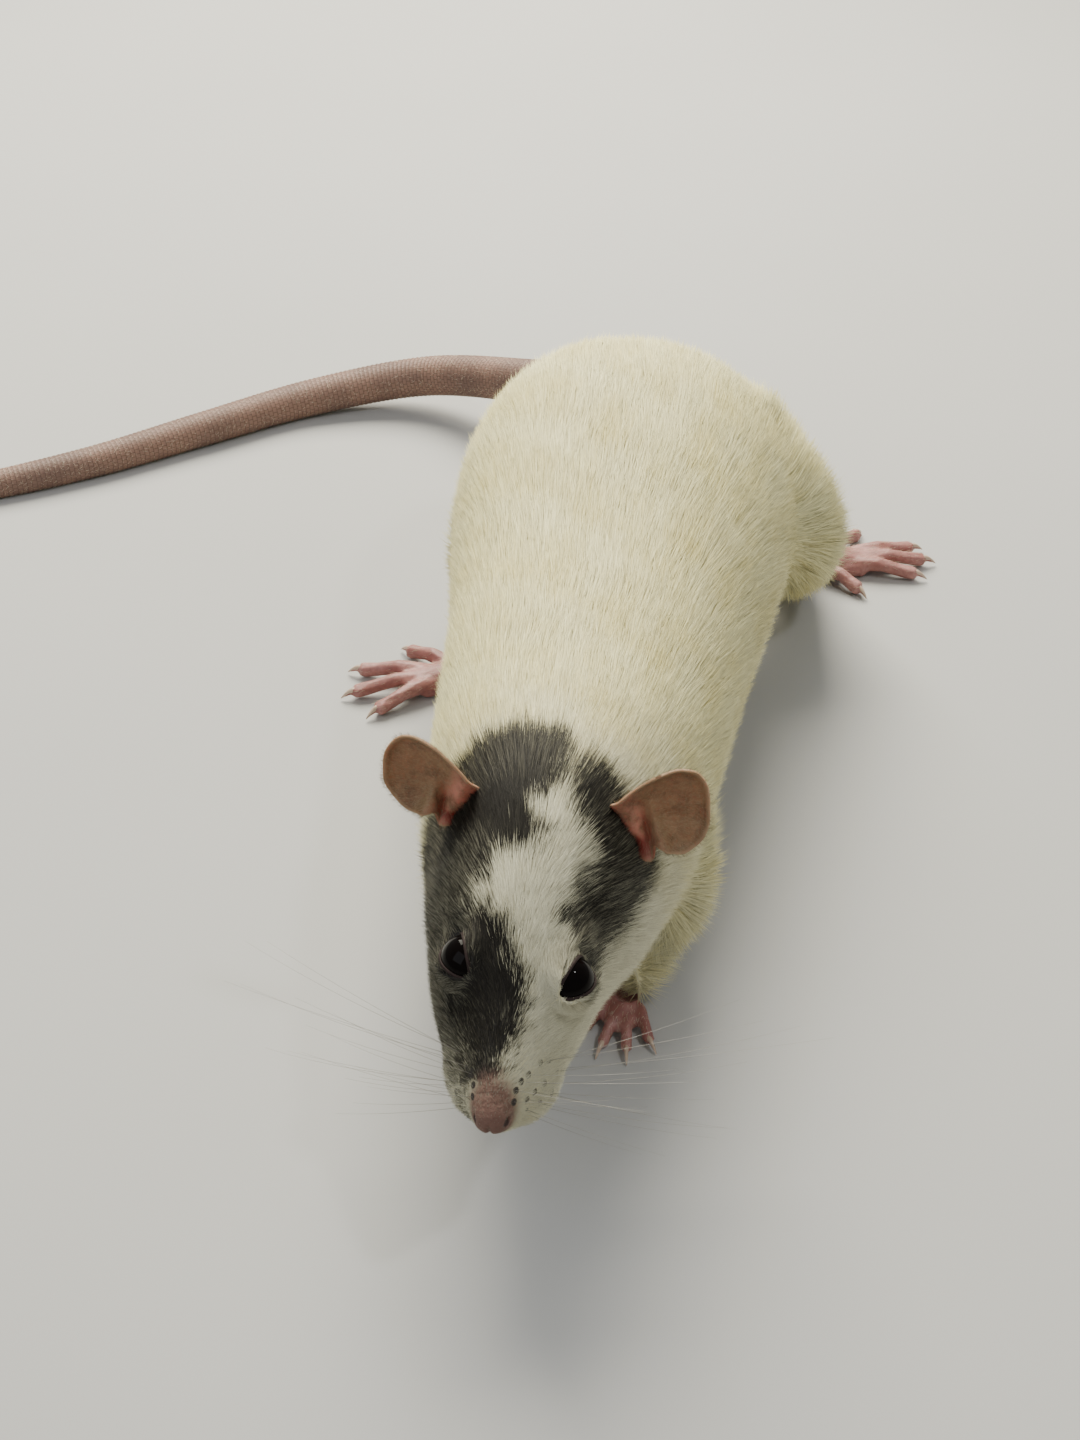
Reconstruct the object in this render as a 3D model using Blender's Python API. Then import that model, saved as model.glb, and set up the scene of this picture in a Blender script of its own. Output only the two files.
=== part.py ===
"""A dumbo rat at life size, standing low with its head forward and its tail swept to one side.

The rat faces -Y, its own left side is +X, and it stands on z = 0. The trunk, head and furry legs are
fused into one form, which is then parted into named pieces by thin cuts. Sizes in the tables are in
millimetres, and MM turns them into metres.
"""

import math

import bmesh
import bpy
import numpy as np
from mathutils import Matrix, Vector
from mathutils.bvhtree import BVHTree

MM = 0.001
GAP = 0.3
FAR = 400.0

# The spine seen from above: nose tip, poll, shoulders, loin and root of the tail.
SPINE_PLAN = [(24.8, -111.0), (30.9, -75.0), (36.8, -38.0), (43.2, 4.0), (50.0, 60.0)]

# The outline of head and trunk from the side. Columns: distance back from the nose tip, height of the
# top, height of the underside, half width, share of the height where it is widest, narrowing of the top.
PROFILE = [
    (0.4, 28.9, 25.6, 1.5, 0.50, 0.0),
    (3.0, 31.6, 23.0, 3.4, 0.45, 0.0),
    (8.0, 35.0, 19.4, 6.0, 0.44, 0.12),
    (14.0, 39.4, 18.6, 8.3, 0.52, 0.16),
    (21.0, 44.2, 17.5, 10.95, 0.53, 0.16),
    (30.0, 48.4, 16.2, 14.0, 0.49, 0.20),
    (40.0, 50.8, 13.6, 16.2, 0.42, 0.16),
    (54.0, 51.2, 11.8, 20.2, 0.42, 0.10),
    (72.0, 51.6, 9.6, 22.4, 0.43, 0.04),
    (96.0, 53.2, 8.0, 25.0, 0.43, 0.02),
    (116.0, 56.2, 7.6, 28.0, 0.42, 0.04),
    (136.0, 57.6, 8.0, 30.0, 0.42, 0.08),
    (152.0, 54.0, 11.0, 26.4, 0.44, 0.08),
    (164.0, 44.5, 16.6, 17.0, 0.47, 0.0),
    (171.0, 35.4, 21.6, 6.4, 0.50, 0.0),
]
SECTION_SQUARENESS = 2.25
SECTION_SIDES = 36
LOFT_STEPS = 70

# Where the thin cuts part the trunk, as distances back from the nose tip, with the cut's lean in degrees
# about the spine's height.
NECK_FRONT = (49.0, -14.0)
NECK_BACK = (67.0, -6.0)
WAIST = (112.0, 0.0)
SPINE_HEIGHT = 32.0

# Forms that stand out from the head. Each has the place of its middle as distance back, out and height,
# its half sizes, the way of its long axis as out, ahead and up, and how far its top leans out.
WHISKER_PAD = ((9.6, 4.0, 24.8), (5.8, 3.3, 3.9), (-0.36, 1.0, -0.3), 0.0)
CHEEK = ((28.0, 7.4, 29.4), (11.0, 5.6, 6.2), (-0.22, 1.0, -0.25), 0.0)
BROW = ((19.8, 6.0, 36.4), (7.2, 3.2, 4.4), (-0.25, 1.0, -0.45), 0.5)
NOSE_PAD = ((1.5, 0.0, 27.6), (2.4, 2.7, 2.3), (0.0, 1.0, -0.5), 0.0)
CHIN = ((11.4, 0.0, 19.8), (4.8, 3.2, 2.4), (0.0, 1.0, -0.2), 0.0)

# Grooves and pits in the face, from row to row: distance back, out, height and radius.
MOUTH_GROOVE = 0.45
MOUTH_LINE = [(15.0, 7.6, 19.6), (11.0, 6.0, 20.2), (7.6, 3.8, 20.8), (5.6, 0.0, 21.6)]
NOSTRIL = [(2.9, 0.75, 28.3, 0.35), (0.9, 1.35, 27.9, 0.5), (0.9, 3.0, 28.7, 0.34)]
LIP_CLEFT = [(-0.2, 0.0, 26.2, 0.3), (2.2, 0.0, 24.0, 0.34), (4.2, 0.0, 22.4, 0.3)]

# The eyes, right and left: the middle of the globe as distance back, out and height, the way it faces as
# out, ahead and up, and how far the front corner of its opening turns in. Then the globe and its lids.
EYES = {
    -1: ((18.2, 6.2, 37.0), (0.56, 0.30, 0.77), -0.8),
    1: ((17.1, 6.9, 36.8), (0.70, 0.30, 0.64), -0.7),
}
EYE_RADIUS = 3.35
EYE_SLANT = math.radians(24.0)
LID_LENGTH, LID_HEIGHT, LID_ROLL, LID_SKIN = 6.2, 4.8, 0.4, 0.35
LID_POINT = 0.22

# The ears: root of each on the head, and the way its tip and its hollow point as out, ahead and up. The
# pinna's edge runs round from the tip over the rear, the root, the funnel, the notch and the lobe's front,
# as distance out along the ear and across it to the front. SIDES widens each ear's front and rear half.
EAR_BACK, EAR_OUT, EAR_HEIGHT = 37.5, 11.0, 44.2
EAR_LEAN = (0.86, -0.28, 0.42)
EAR_FACING = (0.30, 0.86, 0.30)
EAR_EDGE = [
    (11.0, 2.1), (12.4, -1.0), (12.2, -3.6), (10.7, -5.2), (8.0, -5.8), (5.4, -5.6), (3.0, -5.0), (0.8, -4.2),
    (-1.0, -2.8), (-1.6, -0.6), (-1.4, 2.6), (-0.1, 4.3), (1.4, 4.5), (2.8, 3.6), (4.0, 4.3), (5.8, 5.1),
    (8.2, 4.6), (10.0, 3.5),
]
EAR_MIDDLE = (4.6, -0.6)
EAR_SIDES = {"left": (1.25, 0.92), "right": (0.78, 1.08)}
EAR_CUP, EAR_THICKNESS, EAR_RINGS = 1.7, 0.6, 6
EAR_FOLD, EAR_CREASE, EAR_FUNNEL = 0.7, 0.8, 1.0
EAR_SUNK_FROM, EAR_SUNK = 1.5, 4.6

# The furry legs, joint by joint from the body down: x, y, z and radius at each.
FORELEG_LEFT = [
    (48.0, -46.0, 27.0, 9.5),
    (50.8, -57.0, 16.0, 5.9),
    (45.4, -62.6, 7.6, 3.7),
    (43.8, -65.0, 4.2, 2.6),
]
FORELEG_RIGHT = [
    (24.0, -43.0, 27.0, 9.5),
    (19.6, -53.5, 16.0, 5.8),
    (22.6, -60.4, 7.6, 3.7),
    (23.4, -63.3, 4.2, 2.6),
]
HINDLEG_LEFT = [
    (61.0, 34.0, 32.0, 16.5),
    (72.0, 27.0, 23.0, 13.4),
    (76.5, 36.0, 12.0, 8.0),
    (77.0, 46.0, 6.6, 4.4),
]
HINDLEG_RIGHT = [
    (31.0, 26.0, 31.0, 15.0),
    (26.6, 14.0, 24.0, 12.4),
    (25.4, 9.0, 12.0, 7.6),
    (24.6, 13.0, 6.6, 4.4),
]

# The zones that the thin cuts give to each leg: centre, half sizes and turn about Z in degrees.
FORELEG_ZONE_HALF = (10.0, 13.0, 17.0)
HINDLEG_ZONE_HALF = (19.0, 23.0, 24.0)
ZONES = {
    "foreleg_left": ((52.0, -58.5, 9.0), FORELEG_ZONE_HALF, 8.0),
    "foreleg_right": ((16.5, -55.5, 9.0), FORELEG_ZONE_HALF, -8.0),
    "hindleg_left": ((77.0, 33.0, 12.0), HINDLEG_ZONE_HALF, 10.0),
    "hindleg_right": ((17.5, 15.5, 12.0), HINDLEG_ZONE_HALF, -12.0),
}

# Hind feet: heel, heading in degrees from +X, and for each toe from the inner one to the outer one
# where it leaves the foot, how long it is and how far it splays.
HINDFOOT_LENGTH, HINDFOOT_WIDTH, HINDFOOT_HEIGHT = 21.0, 8.6, 6.4
HIND_TOES = [(13.5, 6.0), (19.0, 9.4), (20.0, 10.6), (19.4, 10.0), (15.5, 7.0)]
HINDFOOT_LEFT = ((73.0, 46.5), 3.0, (-58.0, -16.0, 1.0, 15.0, 56.0))
HINDFOOT_RIGHT = ((28.5, 14.5), 192.0, (-58.0, -27.0, -2.0, 24.0, 58.0))
TOE_RADIUS = 1.45

# Forepaws: wrist, heading, and the four fingers from the inner one to the outer one.
FOREPAW_LENGTH, FOREPAW_WIDTH, FOREPAW_HEIGHT = 6.2, 5.8, 4.2
FINGERS = [(4.4, 3.8), (5.6, 4.8), (5.8, 4.8), (4.8, 4.0)]
FOREPAW_LEFT = ((43.8, -63.9), -102.0, (-38.0, -12.0, 12.0, 36.0))
FOREPAW_RIGHT = ((23.4, -62.2), -94.0, (-36.0, -12.0, 12.0, 38.0))
FINGER_RADIUS = 1.0

# What all the feet share. SOLE: share of the foot's length, height of its middle as shares of the ankle's
# and of a toe's height, radius as shares of the ankle's height and of the width. BALL: shares of the
# length, of the width aside, of a toe's height, and of the width for its radius. TOE: share of the toe's
# length, then height and radius in toe radii.
SOLE = [
    (0.03, 0.62, 0.0, 0.60, 0.0),
    (0.35, 0.50, 0.0, 0.0, 0.33),
    (0.70, 0.0, 1.1, 0.0, 0.36),
    (0.92, 0.0, 1.0, 0.0, 0.30),
]
BALL = [(0.45, 0.12, 1.0, 0.20), (0.86, 0.27, 0.95, 0.19)]
TOE = [(0.0, 1.55, 1.05), (0.4, 1.85, 0.92), (0.72, 1.35, 0.86), (0.94, 1.02, 0.98)]
TOE_SUNK, TOE_SPREAD, SOLE_FLATNESS = 2.0, 0.40, 0.85
CLAW, CLAW_RISE, CLAW_TIP = 2.3, 0.28, 0.16

# The tail's route from its root: x, y, height of its middle, and radius.
TAIL_ROUTE = [
    (46.0, 57.0, 28.0, 5.4),
    (41.1, 74.0, 22.8, 4.8),
    (29.0, 91.0, 15.3, 4.4),
    (7.7, 106.4, 7.8, 4.05),
    (-16.3, 104.4, 4.0, 3.75),
    (-38.4, 92.4, 3.35, 3.45),
    (-57.0, 81.5, 3.0, 3.15),
    (-75.6, 73.0, 2.7, 2.85),
    (-93.0, 67.6, 2.15, 2.25),
    (-107.5, 65.6, 1.2, 1.25),
]
TAIL_LENGTHS = 5
TAIL_SIDES = 12
TAIL_STEP = 3.4
TAIL_STUB = 4
TAIL_CUT_DEPTH, TAIL_CUT_WIDTH = 24.0, 9.0

# How finely the fused skins are made, and how many triangles each keeps.
BODY_VOXEL, BODY_SMOOTHING = 0.8, 9
FOOT_VOXEL, FOOT_SMOOTHING = 0.42, 3
HEAD_TRIANGLES = 10600
TRUNK_TRIANGLES = 3000
HINDFOOT_TRIANGLES, FOREPAW_TRIANGLES = 460, 330

# How cut meshes are mended: points closer than these merge, tried in turn, and bad edges up to a length
# are drawn together.
MERGE_DISTANCES = (0.03, 0.01, 0.003)
MEND_ROUNDS, MEND_LENGTH = 4, 0.6


def clear_scene():
    for obj in list(bpy.data.objects):
        bpy.data.objects.remove(obj)


def material(name, colour, roughness):
    """A Principled material of one colour, as the whole solid shows it."""
    made = bpy.data.materials.new(name)
    made.use_nodes = True
    shader = made.node_tree.nodes["Principled BSDF"]
    shader.inputs["Base Color"].default_value = (*colour, 1.0)
    shader.inputs["Roughness"].default_value = roughness
    shader.inputs["Metallic"].default_value = 0.0
    return made


def catmull_rom(rows, counts):
    """Rows read from a smooth curve through the given rows, with counts steps in each span."""
    rows = np.array(rows, float)
    before = 2 * rows[0] - rows[1]
    after = 2 * rows[-1] - rows[-2]
    padded = np.vstack([before, rows, after])
    out = []
    for i in range(len(rows) - 1):
        a, b, c, d = padded[i : i + 4]
        for t in np.arange(counts) / counts:
            bend = (2 * a - 5 * b + 4 * c - d) * t**2 + (3 * b - a - 3 * c + d) * t**3
            out.append(0.5 * (2 * b + (c - a) * t + bend))
    out.append(rows[-1])
    return np.array(out)


def evenly(points, step):
    """Rows of a dense curve read again at even distances of about step along x, y and z."""
    points = np.array(points, float)
    along = np.concatenate([[0], np.cumsum(np.linalg.norm(np.diff(points[:, :3], axis=0), axis=1))])
    wanted = np.linspace(0, along[-1], max(2, round(along[-1] / step) + 1))
    return np.stack([np.interp(wanted, along, points[:, k]) for k in range(points.shape[1])], axis=1)


def spine_curve():
    """Distance back from the nose tip, x and y along the spine seen from above."""
    plan = catmull_rom(SPINE_PLAN, 40)
    back = np.concatenate([[0], np.cumsum(np.linalg.norm(np.diff(plan, axis=0), axis=1))])
    return back, plan


SPINE_BACK, SPINE_XY = spine_curve()
SPINE_TOTAL = SPINE_BACK[-1]


def spine_point(back):
    """x and y of the spine at a distance back from the nose tip, going straight on past either end."""
    inside = min(max(back, 0.0), SPINE_TOTAL)
    x = np.interp(inside, SPINE_BACK, SPINE_XY[:, 0])
    y = np.interp(inside, SPINE_BACK, SPINE_XY[:, 1])
    ahead = spine_ahead(inside)
    return Vector((x, y)) - ahead * (back - inside)


def spine_ahead(back):
    """Unit vector towards the nose, seen from above."""
    step = 1.0
    low, high = max(back - step, 0.0), min(back + step, SPINE_TOTAL)
    x = np.interp((low, high), SPINE_BACK, SPINE_XY[:, 0])
    y = np.interp((low, high), SPINE_BACK, SPINE_XY[:, 1])
    return Vector((x[0] - x[1], y[0] - y[1])).normalized()


def on_body(back, out, height):
    """A point given by its distance back from the nose, out to the rat's left, and height."""
    centre, ahead = spine_point(back), spine_ahead(back)
    left = Vector((-ahead.y, ahead.x))
    place = centre + left * out
    return Vector((place.x, place.y, height))


def body_vector(back, out, ahead, up):
    """A direction given in the rat's own terms: out to its left, ahead and up."""
    forward = spine_ahead(back)
    left = Vector((-forward.y, forward.x))
    flat = left * out + forward * ahead
    return Vector((flat.x, flat.y, up)).normalized()


def new_object(name, mesh_points, faces):
    """A mesh object from points in millimetres."""
    mesh = bpy.data.meshes.new(name)
    mesh.from_pydata([tuple(Vector(p) * MM) for p in mesh_points], [], faces)
    mesh.validate()
    obj = bpy.data.objects.new(name, mesh)
    bpy.context.scene.collection.objects.link(obj)
    turn_outward(obj)
    return obj


def turn_outward(obj):
    shape = bmesh.new()
    shape.from_mesh(obj.data)
    bmesh.ops.recalc_face_normals(shape, faces=shape.faces)
    shape.to_mesh(obj.data)
    shape.free()


def loft(name, rings, first_pole, last_pole):
    """A closed skin over rings of equal count, drawn together to a pole point at each end."""
    sides = len(rings[0])
    points = [p for ring in rings for p in ring] + [first_pole, last_pole]
    faces = []
    for r in range(len(rings) - 1):
        for s in range(sides):
            n = (s + 1) % sides
            faces.append((r * sides + s, r * sides + n, (r + 1) * sides + n, (r + 1) * sides + s))
    head, tail = len(points) - 2, len(points) - 1
    last = (len(rings) - 1) * sides
    for s in range(sides):
        n = (s + 1) % sides
        faces.append((head, n, s))
        faces.append((tail, last + s, last + n))
    return new_object(name, points, faces)


def trunk_form():
    """Head, neck and trunk as one loft, each section upright and square to the spine."""
    rows = evenly(catmull_rom(PROFILE, 12), (PROFILE[-1][0] - PROFILE[0][0]) / LOFT_STEPS)
    rings = []
    for back, top, bottom, half, widest, crown in rows:
        middle = bottom + (top - bottom) * widest
        ring = []
        for k in range(SECTION_SIDES):
            angle = 2 * math.pi * k / SECTION_SIDES
            side, up = math.sin(angle), math.cos(angle)
            power = 2 / SECTION_SQUARENESS
            side = math.copysign(abs(side) ** power, side)
            up = math.copysign(abs(up) ** power, up)
            reach = top - middle if up > 0 else middle - bottom
            ring.append(on_body(back, half * side * (1 - crown * max(up, 0.0)), middle + reach * up))
        rings.append(ring)
    nose = on_body(0.0, 0.0, (PROFILE[0][1] + PROFILE[0][2]) / 2)
    rump = on_body(PROFILE[-1][0] + 1.2, 0.0, (PROFILE[-1][1] + PROFILE[-1][2]) / 2)
    return loft("trunk_form", rings, nose, rump)


def frames_along(points):
    """Two unit vectors square to a route at each of its points, turning as little as they can."""
    points = [Vector(p) for p in points]
    frames, side = [], None
    for i, point in enumerate(points):
        along = (points[min(i + 1, len(points) - 1)] - points[max(i - 1, 0)]).normalized()
        if side is None:
            side = along.cross(Vector((0, 0, 1)))
            side = side if side.length > 0.1 else along.cross(Vector((0, 1, 0)))
        side = (side - along * side.dot(along)).normalized()
        frames.append((side, along.cross(side).normalized(), along))
    return frames


def limb(name, joints, sides=12, step=1.6, spans=8, flatten=1.0):
    """A round limb through joints of x, y, z and radius, with rounded ends."""
    rows = evenly(catmull_rom(joints, spans), step)
    frames = frames_along(rows[:, :3])
    rings = []

    def ring(row, frame, shift, share):
        centre = Vector(row[:3]) + frame[2] * shift
        return [
            centre
            + frame[0] * (math.cos(2 * math.pi * k / sides) * row[3] * share)
            + frame[1] * (math.sin(2 * math.pi * k / sides) * row[3] * share * flatten)
            for k in range(sides)
        ]

    for turn in (70, 35):
        a = math.radians(turn)
        rings.append(ring(rows[0], frames[0], -math.sin(a) * rows[0][3], math.cos(a)))
    for row, frame in zip(rows, frames):
        rings.append(ring(row, frame, 0.0, 1.0))
    for turn in (35, 70):
        a = math.radians(turn)
        rings.append(ring(rows[-1], frames[-1], math.sin(a) * rows[-1][3], math.cos(a)))
    start = Vector(rows[0][:3]) - frames[0][2] * rows[0][3]
    end = Vector(rows[-1][:3]) + frames[-1][2] * rows[-1][3]
    return loft(name, rings, start, end)


def ellipsoid(name, centre, half, turn=None, rings=12, sides=20):
    """An ellipsoid, its half sizes along the axes of turn, a 3 by 3 matrix."""
    turn = turn or Matrix.Identity(3)
    loops = []
    for i in range(1, rings):
        polar = math.pi * i / rings
        loops.append(
            [
                Vector(centre)
                + turn
                @ Vector(
                    (
                        half[0] * math.sin(polar) * math.cos(2 * math.pi * k / sides),
                        half[1] * math.sin(polar) * math.sin(2 * math.pi * k / sides),
                        half[2] * math.cos(polar),
                    )
                )
                for k in range(sides)
            ]
        )
    top = Vector(centre) + turn @ Vector((0, 0, half[2]))
    bottom = Vector(centre) - turn @ Vector((0, 0, half[2]))
    return loft(name, loops, top, bottom)


def axes_from(along, upish):
    """A turn whose X runs along, and whose Z is as near upish as it can be."""
    x = Vector(along).normalized()
    y = Vector(upish).cross(x).normalized()
    z = x.cross(y)
    return Matrix((x, y, z)).transposed()


def bake(obj):
    """The object's modifiers worked into its mesh."""
    bpy.context.view_layer.update()
    graph = bpy.context.evaluated_depsgraph_get()
    mesh = bpy.data.meshes.new_from_object(obj.evaluated_get(graph))
    obj.modifiers.clear()
    old = obj.data
    obj.data = mesh
    bpy.data.meshes.remove(old)
    return obj


def copy_of(obj, name):
    made = obj.copy()
    made.data = obj.data.copy()
    made.name = name
    bpy.context.scene.collection.objects.link(made)
    return made


def fuse(name, forms, voxel, smoothing):
    """Overlapping forms drawn into one smooth closed skin, and removed."""
    shape = bmesh.new()
    for form in forms:
        shape.from_mesh(form.data)
        bpy.data.objects.remove(form)
    mesh = bpy.data.meshes.new(name)
    shape.to_mesh(mesh)
    shape.free()
    obj = bpy.data.objects.new(name, mesh)
    bpy.context.scene.collection.objects.link(obj)
    remesh = obj.modifiers.new("skin", "REMESH")
    remesh.mode = "VOXEL"
    remesh.voxel_size = voxel * MM
    smooth = obj.modifiers.new("soften", "SMOOTH")
    smooth.factor = 0.5
    smooth.iterations = smoothing
    return bake(obj)


def thinned(obj, name, triangles):
    """A copy with about that many triangles."""
    made = copy_of(obj, name)
    count = sum(len(p.vertices) - 2 for p in made.data.polygons)
    decimate = made.modifiers.new("thin", "DECIMATE")
    decimate.ratio = min(1.0, triangles / count)
    decimate.use_collapse_triangulate = True
    return bake(made)


def grown(obj, name, distance):
    """A copy whose skin stands distance further out, in millimetres."""
    made = copy_of(obj, name)
    displace = made.modifiers.new("grow", "DISPLACE")
    displace.mid_level = 0.0
    displace.strength = distance * MM
    return bake(made)


def boolean(obj, other, operation):
    """One Boolean with another object, worked into the mesh."""
    modifier = obj.modifiers.new("boolean", "BOOLEAN")
    modifier.operation = operation
    modifier.solver = "EXACT"
    modifier.object = other
    return bake(obj)


def unite(obj, others):
    """One union with a collection of closed pieces, which are then removed."""
    group = bpy.data.collections.new(obj.name + "_pieces")
    for other in others:
        group.objects.link(other)
    modifier = obj.modifiers.new("union", "BOOLEAN")
    modifier.operation = "UNION"
    modifier.solver = "EXACT"
    modifier.operand_type = "COLLECTION"
    modifier.collection = group
    bake(obj)
    for other in others:
        bpy.data.objects.remove(other)
    bpy.data.collections.remove(group)
    return obj


def open_edges(shape):
    """Edges where the surface is open or touches itself."""
    return [edge for edge in shape.edges if len(edge.link_faces) != 2]


def merged(obj, near):
    """The object's mesh in triangles with points closer than near merged, and short bad edges drawn together."""
    shape = bmesh.new()
    shape.from_mesh(obj.data)
    bmesh.ops.remove_doubles(shape, verts=shape.verts, dist=near * MM)
    bmesh.ops.triangulate(shape, faces=shape.faces)
    for _ in range(MEND_ROUNDS):
        bad = [edge for edge in open_edges(shape) if edge.calc_length() < MEND_LENGTH * MM]
        if not bad:
            break
        bmesh.ops.collapse(shape, edges=bad)
        bmesh.ops.dissolve_degenerate(shape, edges=shape.edges, dist=near * MM / 2)
        bmesh.ops.triangulate(shape, faces=shape.faces)
    return shape


def keep_largest(obj):
    """Only the largest closed surface of the mesh, with the points that cuts left close together merged."""
    for near in MERGE_DISTANCES:
        shape = merged(obj, near)
        if not open_edges(shape):
            break
        if near != MERGE_DISTANCES[-1]:
            shape.free()
    seen, parts = set(), []
    for face in shape.faces:
        if face in seen:
            continue
        part, queue = [], [face]
        seen.add(face)
        while queue:
            here = queue.pop()
            part.append(here)
            for edge in here.edges:
                for near in edge.link_faces:
                    if near not in seen:
                        seen.add(near)
                        queue.append(near)
        parts.append(part)
    parts.sort(key=lambda part: -sum(f.calc_area() for f in part))
    for part in parts[1:]:
        bmesh.ops.delete(shape, geom=part, context="FACES")
    loose = [v for v in shape.verts if not v.link_faces]
    bmesh.ops.delete(shape, geom=loose, context="VERTS")
    bmesh.ops.recalc_face_normals(shape, faces=shape.faces)
    shape.to_mesh(obj.data)
    shape.free()
    return obj


def box(name, low, high):
    """An upright box cutter between two corners, in millimetres."""
    corners = [(x, y, z) for z in (low[2], high[2]) for y in (low[1], high[1]) for x in (low[0], high[0])]
    faces = [(0, 2, 3, 1), (4, 5, 7, 6), (0, 1, 5, 4), (1, 3, 7, 5), (3, 2, 6, 7), (2, 0, 4, 6)]
    return new_object(name, corners, faces)


def slab(name, front, rear):
    """A cutter across the body from one cut to the next. Each cut is a distance back and a lean in degrees,
    and None stands for an open end."""
    corners = []
    for cut, way in ((front, 1), (rear, -1)):
        back, lean = cut if cut else (-40.0 if way == 1 else SPINE_TOTAL + 40.0, 0.0)
        back += way * GAP / 2 if cut else 0.0
        tilt = math.tan(math.radians(lean))
        for out in (-FAR / 4, FAR / 4):
            for height in (-FAR / 8, FAR / 4):
                at = on_body(back, 0.0, height)
                ahead = spine_ahead(min(max(back, 0.0), SPINE_TOTAL))
                left = Vector((-ahead.y, ahead.x, 0.0))
                shift = Vector((ahead.x, ahead.y, 0.0)) * (tilt * (height - SPINE_HEIGHT))
                corners.append(at + left * out + shift)
    faces = [(0, 1, 3, 2), (4, 6, 7, 5), (0, 4, 5, 1), (2, 3, 7, 6), (0, 2, 6, 4), (1, 5, 7, 3)]
    return new_object(name, corners, faces)


def zone(name, grow):
    """The egg of space that a leg is cut with."""
    centre, half, turn = ZONES[name]
    return ellipsoid(
        name + "_zone",
        centre,
        [h + grow for h in half],
        Matrix.Rotation(math.radians(turn), 3, "Z"),
        rings=12,
        sides=20,
    )


def head_form(name, form, way):
    """An ellipsoid that stands out from the head, on the side that way gives."""
    (back, out, height), half, (aside, ahead, up), lean = form
    turn = axes_from(body_vector(back, way * aside, ahead, up), (way * lean, 0, 1))
    return ellipsoid(name, on_body(back, way * out, height), half, turn)


def body_form():
    """The whole furry body: trunk, cheeks, haunches and legs in one skin."""
    forms = [trunk_form(), head_form("nose_pad", NOSE_PAD, 1), head_form("chin", CHIN, 1)]
    for way in (-1, 1):
        forms.append(head_form("whisker_pad", WHISKER_PAD, way))
        forms.append(head_form("cheek", CHEEK, way))
        forms.append(head_form("brow", BROW, way))
        forms.append(ellipsoid("covering", eye_seat(way)[0], [EYE_RADIUS + GAP + LID_SKIN] * 3))
    for joints in (FORELEG_LEFT, FORELEG_RIGHT, HINDLEG_LEFT, HINDLEG_RIGHT):
        forms.append(limb("leg", joints, sides=20, step=2.0))
    forms.append(limb("tail_root", tail_rows()[: TAIL_STUB + 3], sides=18))
    return fuse("body", forms, BODY_VOXEL, BODY_SMOOTHING)


def eye_seat(way):
    """The centre of a globe, and the directions outward, along the opening and across it."""
    (back, out, height), facing, toe_in = EYES[way]
    outward = body_vector(back, way * facing[0], facing[1], facing[2])
    long = body_vector(back, way * toe_in, 1.0, -math.tan(EYE_SLANT))
    long = (long - outward * long.dot(outward)).normalized()
    across = outward.cross(long).normalized()
    return on_body(back, way * out, height), outward, long, across


def opening_ways(seat, count):
    """Directions from the globe's centre to the edge of the opening, an almond with its point in front."""
    _, outward, long, across = seat
    ways = []
    for k in range(count):
        angle = 2 * math.pi * k / count
        x = math.cos(angle) * LID_LENGTH / 2
        y = math.sin(angle) * LID_HEIGHT / 2 * (1 - LID_POINT * math.cos(angle))
        reach = math.sqrt(EYE_RADIUS**2 - x * x - y * y)
        flat = (long * (x / LID_LENGTH**2) + across * (y / LID_HEIGHT**2)).normalized()
        ways.append(((long * x + across * y + outward * reach).normalized(), flat))
    return ways


def opening_cutter(seat):
    """What cuts the opening between the lids."""
    ways = opening_ways(seat, 20)
    rings = [[seat[0] + way * (EYE_RADIUS * share) for way, _ in ways] for share in (0.5, 1.9)]
    return tube("opening", rings)


def lid(seat):
    """The raised rim along both lids."""
    sides = 6
    rings = []
    for on_globe, flat in opening_ways(seat, 20):
        place = seat[0] + on_globe * (EYE_RADIUS + GAP + LID_SKIN)
        side = (flat - on_globe * flat.dot(on_globe)).normalized()
        rings.append(
            [
                place
                + side * (LID_ROLL * (0.8 + math.cos(2 * math.pi * s / sides)))
                + on_globe * (LID_ROLL * 0.8 * math.sin(2 * math.pi * s / sides))
                for s in range(sides)
            ]
        )
    points = [p for ring in rings for p in ring]
    faces = []
    for r in range(len(rings)):
        for s in range(sides):
            n, q = (s + 1) % sides, (r + 1) % len(rings)
            faces.append((r * sides + s, r * sides + n, q * sides + n, q * sides + s))
    return new_object("lid", points, faces)


def mouth_groove(tree):
    """The line of the mouth: a round cutter laid in the skin along both lips, under the whisker pads."""
    half = [tree.find_nearest(on_body(*place) * MM)[0] / MM for place in MOUTH_LINE]
    left = body_vector(0.0, 1.0, 0.0, 0.0)
    nose = on_body(0.0, 0.0, 0.0)
    other = [p - left * (2 * (p - nose).dot(left)) for p in half[:-1]]
    rows = [(*place, MOUTH_GROOVE) for place in half + other[::-1]]
    return limb("mouth", rows, sides=5, step=2.0, spans=4)


def face_cutter(name, line, way, sides, step):
    """A round cutter through the rows of a pit or groove, on the side that way gives."""
    rows = [(*on_body(back, way * out, height), radius) for back, out, height, radius in line]
    return limb(name, rows, sides=sides, step=step, spans=4)


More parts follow.
